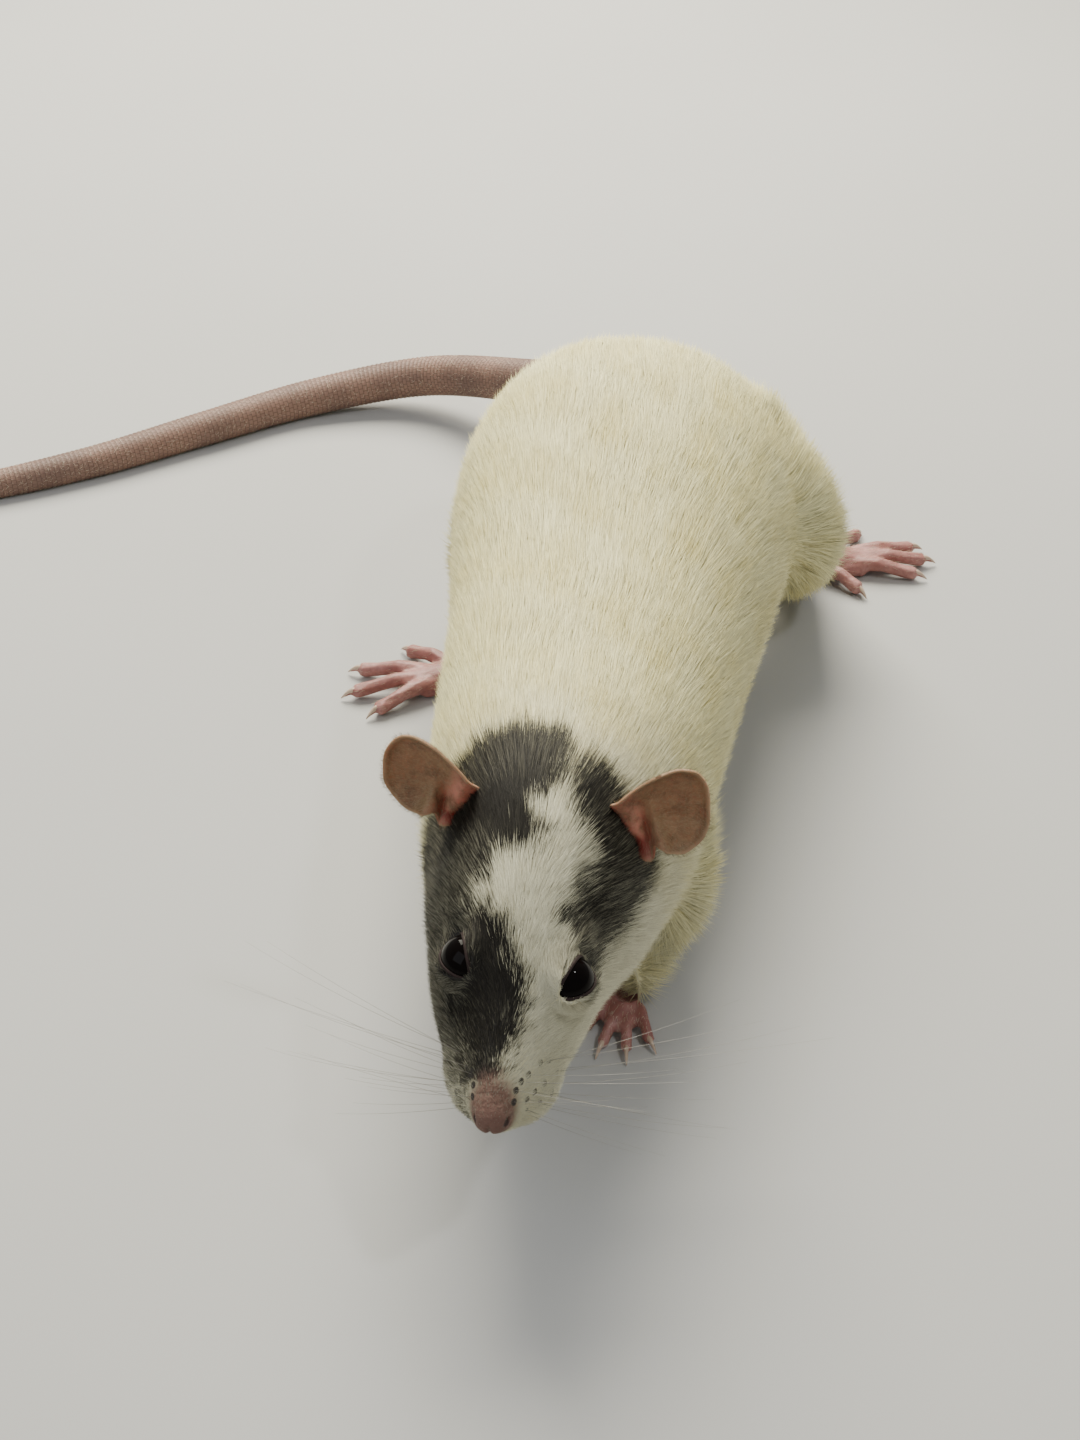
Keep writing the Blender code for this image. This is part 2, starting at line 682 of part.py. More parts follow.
def head_node(fine, seats):
    """The head with lids, nostrils, lips and the line of the mouth."""
    head = thinned(fine, "head", HEAD_TRIANGLES)
    piece = slab("head_slab", None, NECK_FRONT)
    boolean(head, piece, "INTERSECT")
    bpy.data.objects.remove(piece)
    for leg in ("foreleg_left", "foreleg_right"):
        cutter = zone(leg, GAP)
        boolean(head, cutter, "DIFFERENCE")
        bpy.data.objects.remove(cutter)
    keep_largest(head)
    unite(head, [lid(seat) for seat in seats])
    tree = BVHTree.FromObject(head, bpy.context.evaluated_depsgraph_get())
    cutters = [mouth_groove(tree)]
    for way in (-1, 1):
        cutters.append(face_cutter("nostril", NOSTRIL, way, 7, 0.9))
    cutters.append(face_cutter("lip_cleft", LIP_CLEFT, 1, 6, 1.4))
    for seat in seats:
        cutters.append(opening_cutter(seat))
        cutters.append(ellipsoid("socket", seat[0], [EYE_RADIUS + GAP] * 3, rings=12, sides=18))
    for cutter in cutters:
        boolean(head, cutter, "DIFFERENCE")
        bpy.data.objects.remove(cutter)
    return keep_largest(head)


def eye_node(name, seat):
    centre, outward, long, across = seat
    turn = Matrix((long, across, outward)).transposed()
    return ellipsoid(name, centre, [EYE_RADIUS] * 3, turn, rings=10, sides=14)


def ear_frame(way):
    """Root, and the directions to the tip, across to the front edge and out of the cup."""
    root = on_body(EAR_BACK, way * EAR_OUT, EAR_HEIGHT)
    tip = body_vector(EAR_BACK, way * EAR_LEAN[0], EAR_LEAN[1], EAR_LEAN[2])
    facing = body_vector(EAR_BACK, way * EAR_FACING[0], EAR_FACING[1], EAR_FACING[2])
    facing = (facing - tip * facing.dot(tip)).normalized()
    front = tip.cross(facing).normalized() * way
    return root, tip, front, facing


def ear_edge(name):
    """The pinna's outline, out along the ear and across it to the front, as a smooth closed line."""
    front, rear = EAR_SIDES[name]
    rows = [(out, across * (front if across > 0 else rear)) for out, across in EAR_EDGE]
    line = []
    for k in range(len(rows)):
        a, b, c, d = (Vector(rows[(k + n) % len(rows)]) for n in (-1, 0, 1, 2))
        line += [b, (9 * (b + c) - a - d) / 16]
    return line


def ear_depth(out, across, share, front):
    """How far the pinna lies behind its own plane: a cup with a fold, and a funnel that runs into the head."""
    depth = EAR_CUP * (1 - share**2)
    aside = out - 2.9 + 0.2 * across / front
    near_front = min(max((across / front + 2.5) / 4, 0.0), 1.0)
    depth += EAR_CREASE * math.exp(-((aside / 0.8) ** 2)) * near_front
    depth -= EAR_FOLD * math.exp(-(((aside - 1.5) / 0.9) ** 2)) * near_front
    depth += EAR_FUNNEL * math.exp(-((out - 0.6) ** 2 + (across / front - 3.0) ** 2) / 2.5)
    sunk = max(EAR_SUNK_FROM - out, 0.0) / (EAR_SUNK_FROM + 1.6)
    return depth + EAR_SUNK * sunk**1.5


def ear_node(side, way, trim):
    """A thin cupped pinna with a round lobe, a notch and a fold, and a funnel at its root."""
    root, tip, front, facing = ear_frame(way)
    name = "ear_" + side
    edge = ear_edge(side)
    middle = Vector(EAR_MIDDLE)
    places = [(middle, 0.0)]
    for r in range(1, EAR_RINGS + 1):
        share = math.sin(math.pi / 2 * r / EAR_RINGS)
        places += [(middle.lerp(place, share), share) for place in edge]
    points, faces = [], []
    for place, share in places:
        depth = ear_depth(place.x, place.y, share, EAR_SIDES[side][0])
        points.append(root + tip * place.x + front * place.y - facing * depth)
    sides = len(edge)
    for c in range(sides):
        n = (c + 1) % sides
        faces.append((0, 1 + c, 1 + n))
        for r in range(EAR_RINGS - 1):
            a, b = 1 + r * sides, 1 + (r + 1) * sides
            faces.append((a + c, b + c, b + n, a + n))
    mesh = bpy.data.meshes.new(name)
    mesh.from_pydata([tuple(p * MM) for p in points], [], faces)
    ear = bpy.data.objects.new(name, mesh)
    bpy.context.scene.collection.objects.link(ear)
    thick = ear.modifiers.new("thickness", "SOLIDIFY")
    thick.thickness = EAR_THICKNESS * MM
    thick.offset = 0.0
    bake(ear)
    turn_outward(ear)
    boolean(ear, trim, "DIFFERENCE")
    return keep_largest(ear)


def foot_frame(heel, heading, side):
    """A function from a foot's own length, breadth towards the outer toe and height to a point."""
    turn = math.radians(heading)
    along = Vector((math.cos(turn), math.sin(turn), 0.0))
    across = Vector((-along.y, along.x, 0.0)) * side

    def place(length, breadth, height):
        return Vector((*heel, height)) + along * length + across * breadth

    return place


def toe(place, start, aside, angle, length, radius):
    """One toe from inside the foot to its tip: x, y, z and radius along it, and the ends of its claw."""
    ahead, out = math.cos(math.radians(angle)), math.sin(math.radians(angle))
    rows = []
    for share, height, size in TOE:
        along = start - TOE_SUNK * (1 - share) + ahead * length * share
        at = place(along, aside + out * length * share, radius * height)
        rows.append((*at, radius * size))
    tip = place(start + ahead * length, aside + out * length, radius * 1.05)
    point = place(start + ahead * (length + CLAW), aside + out * (length + CLAW), radius * 0.42)
    return rows, (tip, point)


def claw(name, tip, point, radius):
    """A short curved claw that tapers to its point."""
    middle = (tip + point) / 2 + Vector((0, 0, CLAW_RISE))
    rows = [(*(tip - (point - tip) * 0.5), radius * 0.42), (*middle, radius * 0.34), (*point, CLAW_TIP)]
    return limb(name, rows, sides=5, step=1.5, spans=3)


def foot_node(name, placed, side, sizes, toes, radius, trim, triangles):
    """A bare foot: a sole with its toes, flat where it stands, each toe with its claw."""
    (heel, heading, angles), (length, width, height) = placed, sizes
    place = foot_frame(heel, heading, side)
    low = radius * 1.15
    sole = []
    for share, ankle, toe_height, of_height, of_width in SOLE:
        at = place(length * share, 0.0, height * ankle + low * toe_height)
        sole.append((*at, height * of_height + width * of_width))
    forms = [limb("sole", sole, sides=16, step=1.0, flatten=SOLE_FLATNESS)]
    for lane in (-1, 1):
        pad = [(*place(length * a, lane * width * b, low * c), width * d) for a, b, c, d in BALL]
        forms.append(limb("ball", pad, sides=12, step=1.0))
    claws = []
    middle = (len(toes) - 1) / 2
    for index, ((start, size), angle) in enumerate(zip(toes, angles)):
        aside = (index - middle) / middle * width * TOE_SPREAD
        rows, ends = toe(place, start, aside, angle, size, radius)
        forms.append(limb("toe", rows, sides=12, step=0.7))
        claws.append(ends)
    foot = fuse(name, forms, FOOT_VOXEL, FOOT_SMOOTHING)
    foot = thinned_in_place(foot, triangles)
    unite(foot, [claw("claw", tip, point, radius) for tip, point in claws])
    floor = box("floor", (-FAR, -FAR, 0.0), (FAR, FAR, FAR))
    boolean(foot, floor, "INTERSECT")
    bpy.data.objects.remove(floor)
    boolean(foot, trim, "DIFFERENCE")
    return keep_largest(foot)


def thinned_in_place(obj, triangles):
    name = obj.name
    made = thinned(obj, name + "_thin", triangles)
    bpy.data.objects.remove(obj)
    made.name = name
    return made


def tail_rows():
    """x, y, height of the middle and radius of the tail at even steps from its root."""
    return evenly(catmull_rom(TAIL_ROUTE, 12), TAIL_STEP)


def tail_cutter():
    """What the flat cut takes off the end of the tail root."""
    rows = tail_rows()
    side, up, along = frames_along(rows[:, :3])[TAIL_STUB]
    middle = Vector(rows[TAIL_STUB][:3]) + along * (TAIL_CUT_DEPTH / 2)
    size = Vector((TAIL_CUT_DEPTH / 2, TAIL_CUT_WIDTH, TAIL_CUT_WIDTH))
    cutter = box("tail_cutter", -size, size)
    cutter.data.transform(Matrix.Translation(middle * MM) @ Matrix((along, side, up)).transposed().to_4x4())
    turn_outward(cutter)
    return cutter


def tail_nodes():
    """The tail in a few lengths end to end, flat along the floor where it lies."""
    rows = tail_rows()
    rows = rows[TAIL_STUB:]
    frames = frames_along(rows[:, :3])
    share = (len(rows) - 1) // TAIL_LENGTHS
    nodes = []
    for n in range(TAIL_LENGTHS):
        first = n * share
        last = len(rows) - 1 if n == TAIL_LENGTHS - 1 else (n + 1) * share
        rings = []
        for i in range(first, last + 1):
            centre = Vector(rows[i][:3])
            if i == first:
                centre = centre + frames[i][2] * (GAP / 2 if n else GAP)
            if i == last and n < TAIL_LENGTHS - 1:
                centre = centre - frames[i][2] * GAP / 2
            ring = []
            for k in range(TAIL_SIDES):
                angle = 2 * math.pi * (k + 0.5) / TAIL_SIDES
                way = frames[i][0] * math.cos(angle) + frames[i][1] * math.sin(angle)
                point = centre + way * rows[i][3]
                point.z = max(point.z, 0.0)
                ring.append(point)
            rings.append(ring)
        nodes.append(tube("tail_" + str(n + 1), rings))
    return nodes


def tube(name, rings):
    """A closed skin over rings, with a flat face at each end."""
    sides = len(rings[0])
    points = [p for ring in rings for p in ring]
    faces = []
    for r in range(len(rings) - 1):
        for s in range(sides):
            n = (s + 1) % sides
            faces.append((r * sides + s, r * sides + n, (r + 1) * sides + n, (r + 1) * sides + s))
    faces.append(tuple(range(sides)))
    faces.append(tuple((len(rings) - 1) * sides + s for s in reversed(range(sides))))
    return new_object(name, points, faces)


def trunk_node(name, coarse, front, rear, zones):
    """A length of the trunk between two cuts, less the legs that grow from it."""
    node = copy_of(coarse, name)
    piece = slab(name + "_slab", front, rear)
    boolean(node, piece, "INTERSECT")
    bpy.data.objects.remove(piece)
    for leg in zones:
        cutter = zone(leg, GAP)
        boolean(node, cutter, "DIFFERENCE")
        bpy.data.objects.remove(cutter)
    return keep_largest(node)


def leg_node(name, coarse):
    node = copy_of(coarse, name)
    cutter = zone(name, 0.0)
    boolean(node, cutter, "INTERSECT")
    bpy.data.objects.remove(cutter)
    return keep_largest(node)


def dress(obj, look):
    """Smooth shading and the piece's material."""
    obj.data.materials.clear()
    obj.data.materials.append(look)
    obj.data.shade_smooth()
    obj.data.set_sharp_from_angle(angle=math.radians(40))


def main():
    clear_scene()
    cream = material("cream_fur", (0.70, 0.66, 0.46), 0.9)
    grey = material("hood_fur", (0.22, 0.21, 0.20), 0.9)
    pink = material("bare_skin", (0.62, 0.36, 0.32), 0.55)
    brown = material("ear_skin", (0.40, 0.26, 0.18), 0.6)
    black = material("eye", (0.005, 0.005, 0.005), 0.08)

    fine = body_form()
    stub = tail_cutter()
    boolean(fine, stub, "DIFFERENCE")
    bpy.data.objects.remove(stub)
    coarse = thinned(fine, "coarse", TRUNK_TRIANGLES)
    legs = list(ZONES)
    nodes = [(head_node(fine, [eye_seat(-1), eye_seat(1)]), grey)]
    nodes.append((trunk_node("neck", coarse, NECK_FRONT, NECK_BACK, legs[:2]), cream))
    nodes.append((trunk_node("torso", coarse, NECK_BACK, WAIST, legs), cream))
    nodes.append((trunk_node("rump", coarse, WAIST, None, legs[2:]), cream))
    for leg in legs:
        nodes.append((leg_node(leg, coarse), cream))

    clear = grown(coarse, "clear_of_body", GAP)
    head_clear = grown(thinned(fine, "head_room", HEAD_TRIANGLES), "clear_of_head", GAP)
    hind_sizes = (HINDFOOT_LENGTH, HINDFOOT_WIDTH, HINDFOOT_HEIGHT)
    fore_sizes = (FOREPAW_LENGTH, FOREPAW_WIDTH, FOREPAW_HEIGHT)
    hind_kind = (hind_sizes, HIND_TOES, TOE_RADIUS, clear, HINDFOOT_TRIANGLES)
    fore_kind = (fore_sizes, FINGERS, FINGER_RADIUS, clear, FOREPAW_TRIANGLES)
    nodes.append((foot_node("hindfoot_left", HINDFOOT_LEFT, 1, *hind_kind), pink))
    nodes.append((foot_node("hindfoot_right", HINDFOOT_RIGHT, -1, *hind_kind), pink))
    nodes.append((foot_node("forepaw_left", FOREPAW_LEFT, 1, *fore_kind), pink))
    nodes.append((foot_node("forepaw_right", FOREPAW_RIGHT, -1, *fore_kind), pink))
    for name, way in (("left", 1), ("right", -1)):
        nodes.append((ear_node(name, way, head_clear), brown))
        nodes.append((eye_node("eye_" + name, eye_seat(way)), black))
    for node in tail_nodes():
        nodes.append((node, pink))
    kept = [node for node, _ in nodes]
    for obj in list(bpy.data.objects):
        if obj not in kept:
            bpy.data.objects.remove(obj)
    for node, look in nodes:
        dress(node, look)


main()
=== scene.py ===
"""The looks of a dumbo rat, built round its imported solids. Sizes in millimetres, turned to metres by MM."""

import math

import bmesh
import bpy
import numpy as np
from mathutils import Matrix, Vector


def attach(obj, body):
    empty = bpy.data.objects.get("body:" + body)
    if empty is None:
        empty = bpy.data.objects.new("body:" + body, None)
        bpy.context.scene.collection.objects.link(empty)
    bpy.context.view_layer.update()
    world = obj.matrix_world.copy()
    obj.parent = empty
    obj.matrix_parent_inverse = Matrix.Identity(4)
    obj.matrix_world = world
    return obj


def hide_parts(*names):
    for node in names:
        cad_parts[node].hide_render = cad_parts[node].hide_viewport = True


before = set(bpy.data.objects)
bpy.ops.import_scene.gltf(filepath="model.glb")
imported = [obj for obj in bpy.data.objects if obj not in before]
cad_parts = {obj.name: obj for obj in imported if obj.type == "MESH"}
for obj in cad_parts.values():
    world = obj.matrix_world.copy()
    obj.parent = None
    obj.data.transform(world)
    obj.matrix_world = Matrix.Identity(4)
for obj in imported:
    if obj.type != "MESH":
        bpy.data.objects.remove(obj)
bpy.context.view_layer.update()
MM = 0.001


# The place and light of the photograph.
# A hand-held camera looks down on the rat from in front, under soft light from above and behind. The
# floor is one plain pale sheet.
def linear(code):
    """An sRGB hex colour as linear red, green, blue and alpha."""
    parts = [int(code[i : i + 2], 16) / 255 for i in (1, 3, 5)]
    return (*[c / 12.92 if c <= 0.04045 else ((c + 0.055) / 1.055) ** 2.4 for c in parts], 1.0)


def new_material(name):
    """A material, its node tree and its Principled shader."""
    made = bpy.data.materials.new(name)
    made.use_nodes = True
    return made, made.node_tree, made.node_tree.nodes["Principled BSDF"]


def add(tree, kind, inputs, **settings):
    """A node with its settings, each input given as a value or as another node's output."""
    made = tree.nodes.new(kind)
    for key, value in settings.items():
        setattr(made, key, value)
    for socket, value in inputs.items():
        if isinstance(value, bpy.types.NodeSocket):
            tree.links.new(value, made.inputs[socket])
        else:
            made.inputs[socket].default_value = value
    return made


def clouds(tree, size, detail=3.0, rough=0.5, place=None):
    """Soft clouds from 0 to 1 over the piece, or over another place, their lumps size millimetres across."""
    if place is None:
        place = add(tree, "ShaderNodeTexCoord", {}).outputs["Object"]
    inputs = {"Vector": place, "Scale": 1 / (size * MM), "Detail": detail, "Roughness": rough}
    return add(tree, "ShaderNodeTexNoise", inputs).outputs["Fac"]


def stain(tree, colour, other, pattern, low=None, high=None, least=0.0, most=1.0, how="MIX"):
    """A colour with another laid over it by a pattern: least where the pattern is low, most where high."""
    colour, other = (linear(c) if isinstance(c, str) else c for c in (colour, other))
    if low is not None:
        inputs = {0: pattern, 1: low, 2: high, 3: least, 4: most}
        pattern = add(tree, "ShaderNodeMapRange", inputs, interpolation_type="SMOOTHSTEP").outputs[0]
    inputs = {0: pattern, 6: colour, 7: other}
    return add(tree, "ShaderNodeMix", inputs, data_type="RGBA", blend_type=how).outputs[2]


def finish_look(tree, shader, colour, roughness, shine=0.5, relief=None, strength=0.0, depth=0.0):
    """A material's colour, roughness and shine, and its relief with a depth in millimetres."""
    tree.links.new(colour, shader.inputs["Base Color"])
    shader.inputs["Roughness"].default_value = roughness
    shader.inputs["Specular IOR Level"].default_value = shine
    if relief is not None:
        inputs = {"Height": relief, "Strength": strength, "Distance": depth * MM}
        tree.links.new(add(tree, "ShaderNodeBump", inputs).outputs[0], shader.inputs["Normal"])


def placed(name, data):
    """A new object in the scene."""
    obj = bpy.data.objects.new(name, data)
    bpy.context.scene.collection.objects.link(obj)
    return obj


CAMERA_PLACE, CAMERA_PITCH = (31.0, -276.7, 225.52), 51.0
CAMERA_LENS, CAMERA_SENSOR, CAMERA_NEAR = 52.0, 36.0, 5.0
camera = placed("camera", bpy.data.cameras.new("camera"))
camera.location = Vector(CAMERA_PLACE) * MM
camera.rotation_euler = (math.radians(CAMERA_PITCH), 0.0, 0.0)
camera.data.lens = CAMERA_LENS
camera.data.sensor_width = CAMERA_SENSOR
camera.data.clip_start = CAMERA_NEAR * MM
bpy.context.scene.camera = camera

# Two soft boxes, and a small lamp for the glint in the left eye: place, size, power and tint.
LIGHTS_AIM = Vector((30.0, -20.0, 25.0))
LIGHTS = [
    ("key_light", (-20.0, 400.0, 470.0), 420.0, 11.1, "#fff9e8"),
    ("fill_light", (-260.0, -330.0, 420.0), 420.0, 1.0, "#f2f5ff"),
    ("small_lamp", (220.0, -123.0, 388.0), 30.0, 0.35, "#ffffff"),
]
for name, place, size, power, tint in LIGHTS:
    lamp = placed(name, bpy.data.lights.new(name, "AREA"))
    lamp.location = Vector(place) * MM
    lamp.rotation_euler = (LIGHTS_AIM - Vector(place)).to_track_quat("-Z", "Y").to_euler()
    lamp.data.size = size * MM
    lamp.data.energy = power
    lamp.data.color = linear(tint)[:3]
ROOM_COLOUR, ROOM_STRENGTH = "#e4e5e0", 0.49
world = bpy.data.worlds.new("studio")
bpy.context.scene.world = world
world.use_nodes = True
world.node_tree.nodes["Background"].inputs["Color"].default_value = linear(ROOM_COLOUR)
world.node_tree.nodes["Background"].inputs["Strength"].default_value = ROOM_STRENGTH

# Matt paper: a pale even grey that mirrors nothing, with clouds too faint to see as a pattern.
FLOOR_SIZE = 3000.0
floor_look, tree, shader = new_material("studio_paper")
colour = stain(tree, "#b0b0ae", "#b5b5b3", clouds(tree, 250.0), 0.3, 0.7)
finish_look(tree, shader, colour, roughness=0.9)
half = FLOOR_SIZE / 2 * MM
floor_mesh = bpy.data.meshes.new("floor")
floor_corners = [(-half, -half, 0), (half, -half, 0), (half, half, 0), (-half, half, 0)]
floor_mesh.from_pydata(floor_corners, [], [(0, 1, 2, 3)])
floor_mesh.materials.append(floor_look)
floor = placed("floor", floor_mesh)

# The skin of the body.
# The real one is loose skin over muscle, unbroken from the nose to the root of the tail. It lies inside
# the solids by the depth of the coat, and carries the coat's markings and short underfur.
FLESH = ["head", "neck", "torso", "rump", "foreleg_left", "foreleg_right", "hindleg_left", "hindleg_right"]
SEAM_CLOSING = 0.25
THIGH_FOLD, THIGH_FOLD_RADIUS = (71.6, 38.7, 24.9), 3.4
SKIN_VOXEL, SKIN_SMOOTHING = 0.56, 4
SPINE_PLAN, SPINE_STEPS = [(24.8, -111.0), (30.9, -75.0), (36.8, -38.0), (43.2, 4.0), (50.0, 60.0)], 40
BATCH = 20000


def smooth_curve(rows, steps):
    """Rows read from a smooth curve through the given rows, with steps in each span."""
    rows = np.array(rows, float)
    padded = np.vstack([2 * rows[0] - rows[1], rows, 2 * rows[-1] - rows[-2]])
    out = []
    for i in range(len(rows) - 1):
        a, b, c, d = padded[i : i + 4]
        for t in np.arange(steps) / steps:
            bend = (2 * a - 5 * b + 4 * c - d) * t**2 + (3 * b - a - 3 * c + d) * t**3
            out.append(0.5 * (2 * b + (c - a) * t + bend))
    out.append(rows[-1])
    return np.array(out)


SPINE = smooth_curve(SPINE_PLAN, SPINE_STEPS)
SPINE_BACK = np.concatenate([[0], np.cumsum(np.linalg.norm(np.diff(SPINE, axis=0), axis=1))])
AHEAD = -np.gradient(SPINE, axis=0)
AHEAD /= np.linalg.norm(AHEAD, axis=1)[:, None]
LEFT = np.stack([-AHEAD[:, 1], AHEAD[:, 0]], axis=1)


def along_spine(points):
    """For points in millimetres: distance back from the nose tip, distance out to the rat's left, and the
    ways ahead and left there."""
    near = np.empty(len(points), int)
    for start in range(0, len(points), BATCH):
        part = points[start : start + BATCH, None, :2]
        near[start : start + BATCH] = ((part - SPINE[None]) ** 2).sum(2).argmin(1)
    step = points[:, :2] - SPINE[near]
    back = SPINE_BACK[near] - (step * AHEAD[near]).sum(1)
    out = (step * LEFT[near]).sum(1)
    flat = np.zeros((len(points), 1))
    return back, out, np.hstack([AHEAD[near], flat]), np.hstack([LEFT[near], flat])


def spine_at(back, rows):
    """The two columns of some rows along the spine, read at a distance back from the nose."""
    return [np.interp(back, SPINE_BACK, rows[:, k]) for k in (0, 1)]


def on_body(back, out, height):
    """A point in millimetres from its distance back from the nose, out to the rat's left, and height."""
    ahead = Vector(spine_at(back, AHEAD))
    x, y = spine_at(back, SPINE)
    x, y = x - ahead.x * min(back, 0.0), y - ahead.y * min(back, 0.0)
    return Vector((x - ahead.y * out, y + ahead.x * out, height))


def body_way(back, out, ahead, up):
    """A direction from its parts out to the rat's left, ahead and up."""
    forward = Vector(spine_at(back, AHEAD)).normalized()
    return Vector((forward.x * ahead - forward.y * out, forward.y * ahead + forward.x * out, up)).normalized()


def waves(points, length, seed):
    """Smooth noise about 0, its lumps about length across, as seven waves that cross."""
    draw = np.random.default_rng(seed)
    total = np.zeros(len(points))
    for _ in range(7):
        way = draw.normal(size=3)
        way /= np.linalg.norm(way)
        pace = 2 * math.pi / length * draw.uniform(0.6, 1.5)
        total += np.sin(points @ way * pace + draw.uniform(0, 6.28))
    return total / 2.6


def smooth_share(value, low, high):
    """0 below low and 1 above high, smooth between."""
    t = np.clip((value - low) / (high - low), 0, 1)
    return t * t * (3 - 2 * t)


def inside(places, outline):
    """Signed distance from an outline, above 0 inside it."""
    outline = np.array(outline, float)
    within = np.zeros(len(places), bool)
    nearest = np.full(len(places), 1e9)
    for a, b in zip(outline, np.roll(outline, -1, axis=0)):
        edge = b - a
        share = np.clip(((places - a) @ edge) / (edge @ edge), 0, 1)
        nearest = np.minimum(nearest, np.linalg.norm(places - a - share[:, None] * edge, axis=1))
        crosses = (a[1] > places[:, 1]) != (b[1] > places[:, 1])
        with np.errstate(divide="ignore", invalid="ignore"):
            at = (b[0] - a[0]) * (places[:, 1] - a[1]) / (b[1] - a[1]) + a[0]
        within ^= crosses & (places[:, 0] < at)
    return np.where(within, nearest, -nearest)


# The grey markings, each an outline of distances back and out, with the height of its lower edge.
BAND_AND_HOOD = [
    (2.8, -0.6), (3.9, 0.7), (6.0, 1.3), (8.5, 1.9), (10.3, 2.3), (12.1, 2.6), (13.3, 2.1), (15.2, 1.1),
    (16.6, 0.2), (18.9, -1.1), (21.2, -3.4), (22.6, -6.4), (24.1, -5.6), (25.3, -4.5), (27.6, -3.3),
    (27.9, -0.9), (28.7, 1.0), (30.7, 1.3), (32.4, -0.4), (35.0, -0.4), (37.2, 1.9), (43.0, 2.5), (45.6, 2.0),
    (47.2, 0.0), (48.0, -4.0), (48.1, -8.0), (47.4, -10.7), (45.5, -13.5), (44.0, -24.0), (14.0, -24.0),
    (10.5, -8.5), (7.4, -5.6), (4.4, -3.9), (3.2, -2.2),
]
LEFT_PATCH = [
    (44.2, 5.0), (40.6, 3.3), (36.0, 3.7), (34.1, 4.3), (33.0, 6.2), (31.0, 6.7), (27.6, 6.0), (23.9, 4.9),
    (21.6, 4.6), (19.8, 6.6), (18.9, 9.4), (20.6, 11.0), (24.3, 12.8), (28.0, 14.5), (33.0, 17.0),
    (39.0, 17.0), (41.5, 10.0), (43.6, 7.6),
]
MARKINGS = [(BAND_AND_HOOD, 22.5), (LEFT_PATCH, 35.1)]
RAGGED, RAGGED_LENGTH = 0.5, 3.4
MUZZLE_HEIGHT, LIPS_HEIGHT = 28.0, 21.6


def greyness(points, back, out):
    """How far inside the grey markings each point lies, in millimetres."""
    places = np.stack([back, out], axis=1)
    best = np.full(len(points), -9.0)
    ragged = RAGGED * waves(points, RAGGED_LENGTH, 5)
    for outline, lower_edge in MARKINGS:
        depth = np.minimum(inside(places, outline) + ragged, (points[:, 2] - lower_edge) * 0.8)
        best = np.maximum(best, depth)
    return best


def pinkness(points, back):
    """How bare the skin is at the tip of the muzzle and the lips."""
    height = points[:, 2]
    tip = 1 - smooth_share(back + 0.35 * (MUZZLE_HEIGHT - height), 1.6, 4.2)
    lips = (1 - smooth_share(back, 6.0, 13.0)) * (1 - smooth_share(np.abs(height - LIPS_HEIGHT), 0.8, 2.0))
    return np.clip(np.maximum(tip, 0.7 * lips), 0, 1)


# Each eye: its side, its place as back, out and height, the way it faces, and how its opening toes in.
EYE_RADIUS, EYE_SLANT = 3.35, math.radians(24.0)
LID_LENGTH, LID_HEIGHT, LID_POINT = 6.5, 3.8, 0.14
EYE_PLACES = [
    (-1, (18.2, 6.2, 37.0), (0.59, 0.30, 0.75), -0.8),
    (1, (17.1, 6.9, 36.8), (0.70, 0.30, 0.64), -0.95),
]
BEHIND_EYE = 9.0


def eye_frame(way, place, facing, toe_in):
    """The centre of an eye, and the ways out of it, along its opening to the front corner, and across."""
    back, out, height = place
    outward = body_way(back, way * facing[0], facing[1], facing[2])
    long = body_way(back, way * toe_in, 1.0, -math.tan(EYE_SLANT))
    long = (long - outward * long.dot(outward)).normalized()
    return on_body(back, way * out, height), outward, long, outward.cross(long).normalized()


EYES = [eye_frame(*row) for row in EYE_PLACES]
EYE_CENTRES = [eye[0] for eye in EYES]


def gap_to(points, place):
    """How far points lie from a place, in millimetres."""
    return np.linalg.norm(points - np.array(place), axis=1)


def from_opening(points, eye):
    """For points: how far out from the middle of the eye's opening they lie, 1 on the edge of the lids, then
    in millimetres how far aside, how far aside the edge is on that side, and how far out."""
    centre, outward, long, across = (np.array(v) for v in eye)
    step = points - centre
    x, y, height = step @ long, step @ across, step @ outward
    lean = x * 2 / LID_LENGTH
    lean = lean / np.maximum(np.hypot(lean, y * 2 / LID_HEIGHT), 1e-6)
    share = np.hypot(x * 2 / LID_LENGTH, y * 2 / LID_HEIGHT / (1 - LID_POINT * lean))
    aside = np.maximum(np.hypot(x, y), 1e-6)
    return np.where(height > -2.0, share, BEHIND_EYE), aside, aside / np.maximum(share, 1e-6), height


def painted_eye_shade(points):
    """How much grey the fur takes close above and behind each eye, from 0 to 1: partly grey hair and partly
    painted shade of the lids and brow.
    """
    most = np.zeros(len(points))
    for eye in EYES:
        share, aside, edge, height = from_opening(points, eye)
        step = points - np.array(eye[0])
        rear = smooth_share(-(step @ np.array(eye[2])) + 0.8 * np.abs(step @ np.array(eye[3])), -1.5, 2.5)
        near = np.where(share < BEHIND_EYE, 1 - smooth_share(aside - edge, 0.8, 3.2), 0.0)
        most = np.maximum(most, rear * near)
    return most


FEET, FEET_HEIGHT = [(76.5, 46.0), (26.0, 13.5), (43.6, -65.0), (23.2, -63.4)], 3.0
TAIL_START, TAIL_WAY = (43.4, 67.5, 25.4), (-0.266, 0.923, -0.282)
STUB_RADIUS, STUB_REACH = 8.0, 9.0


def along_stub(points):
    """How far along the furry root of the tail points lie, in millimetres: far below 0 off it."""
    step = points - np.array(TAIL_START)
    along = step @ np.array(TAIL_WAY)
    off = np.linalg.norm(step - along[:, None] * np.array(TAIL_WAY), axis=1)
    return np.where((off < STUB_RADIUS) & (along > -STUB_REACH), along, -99.0)


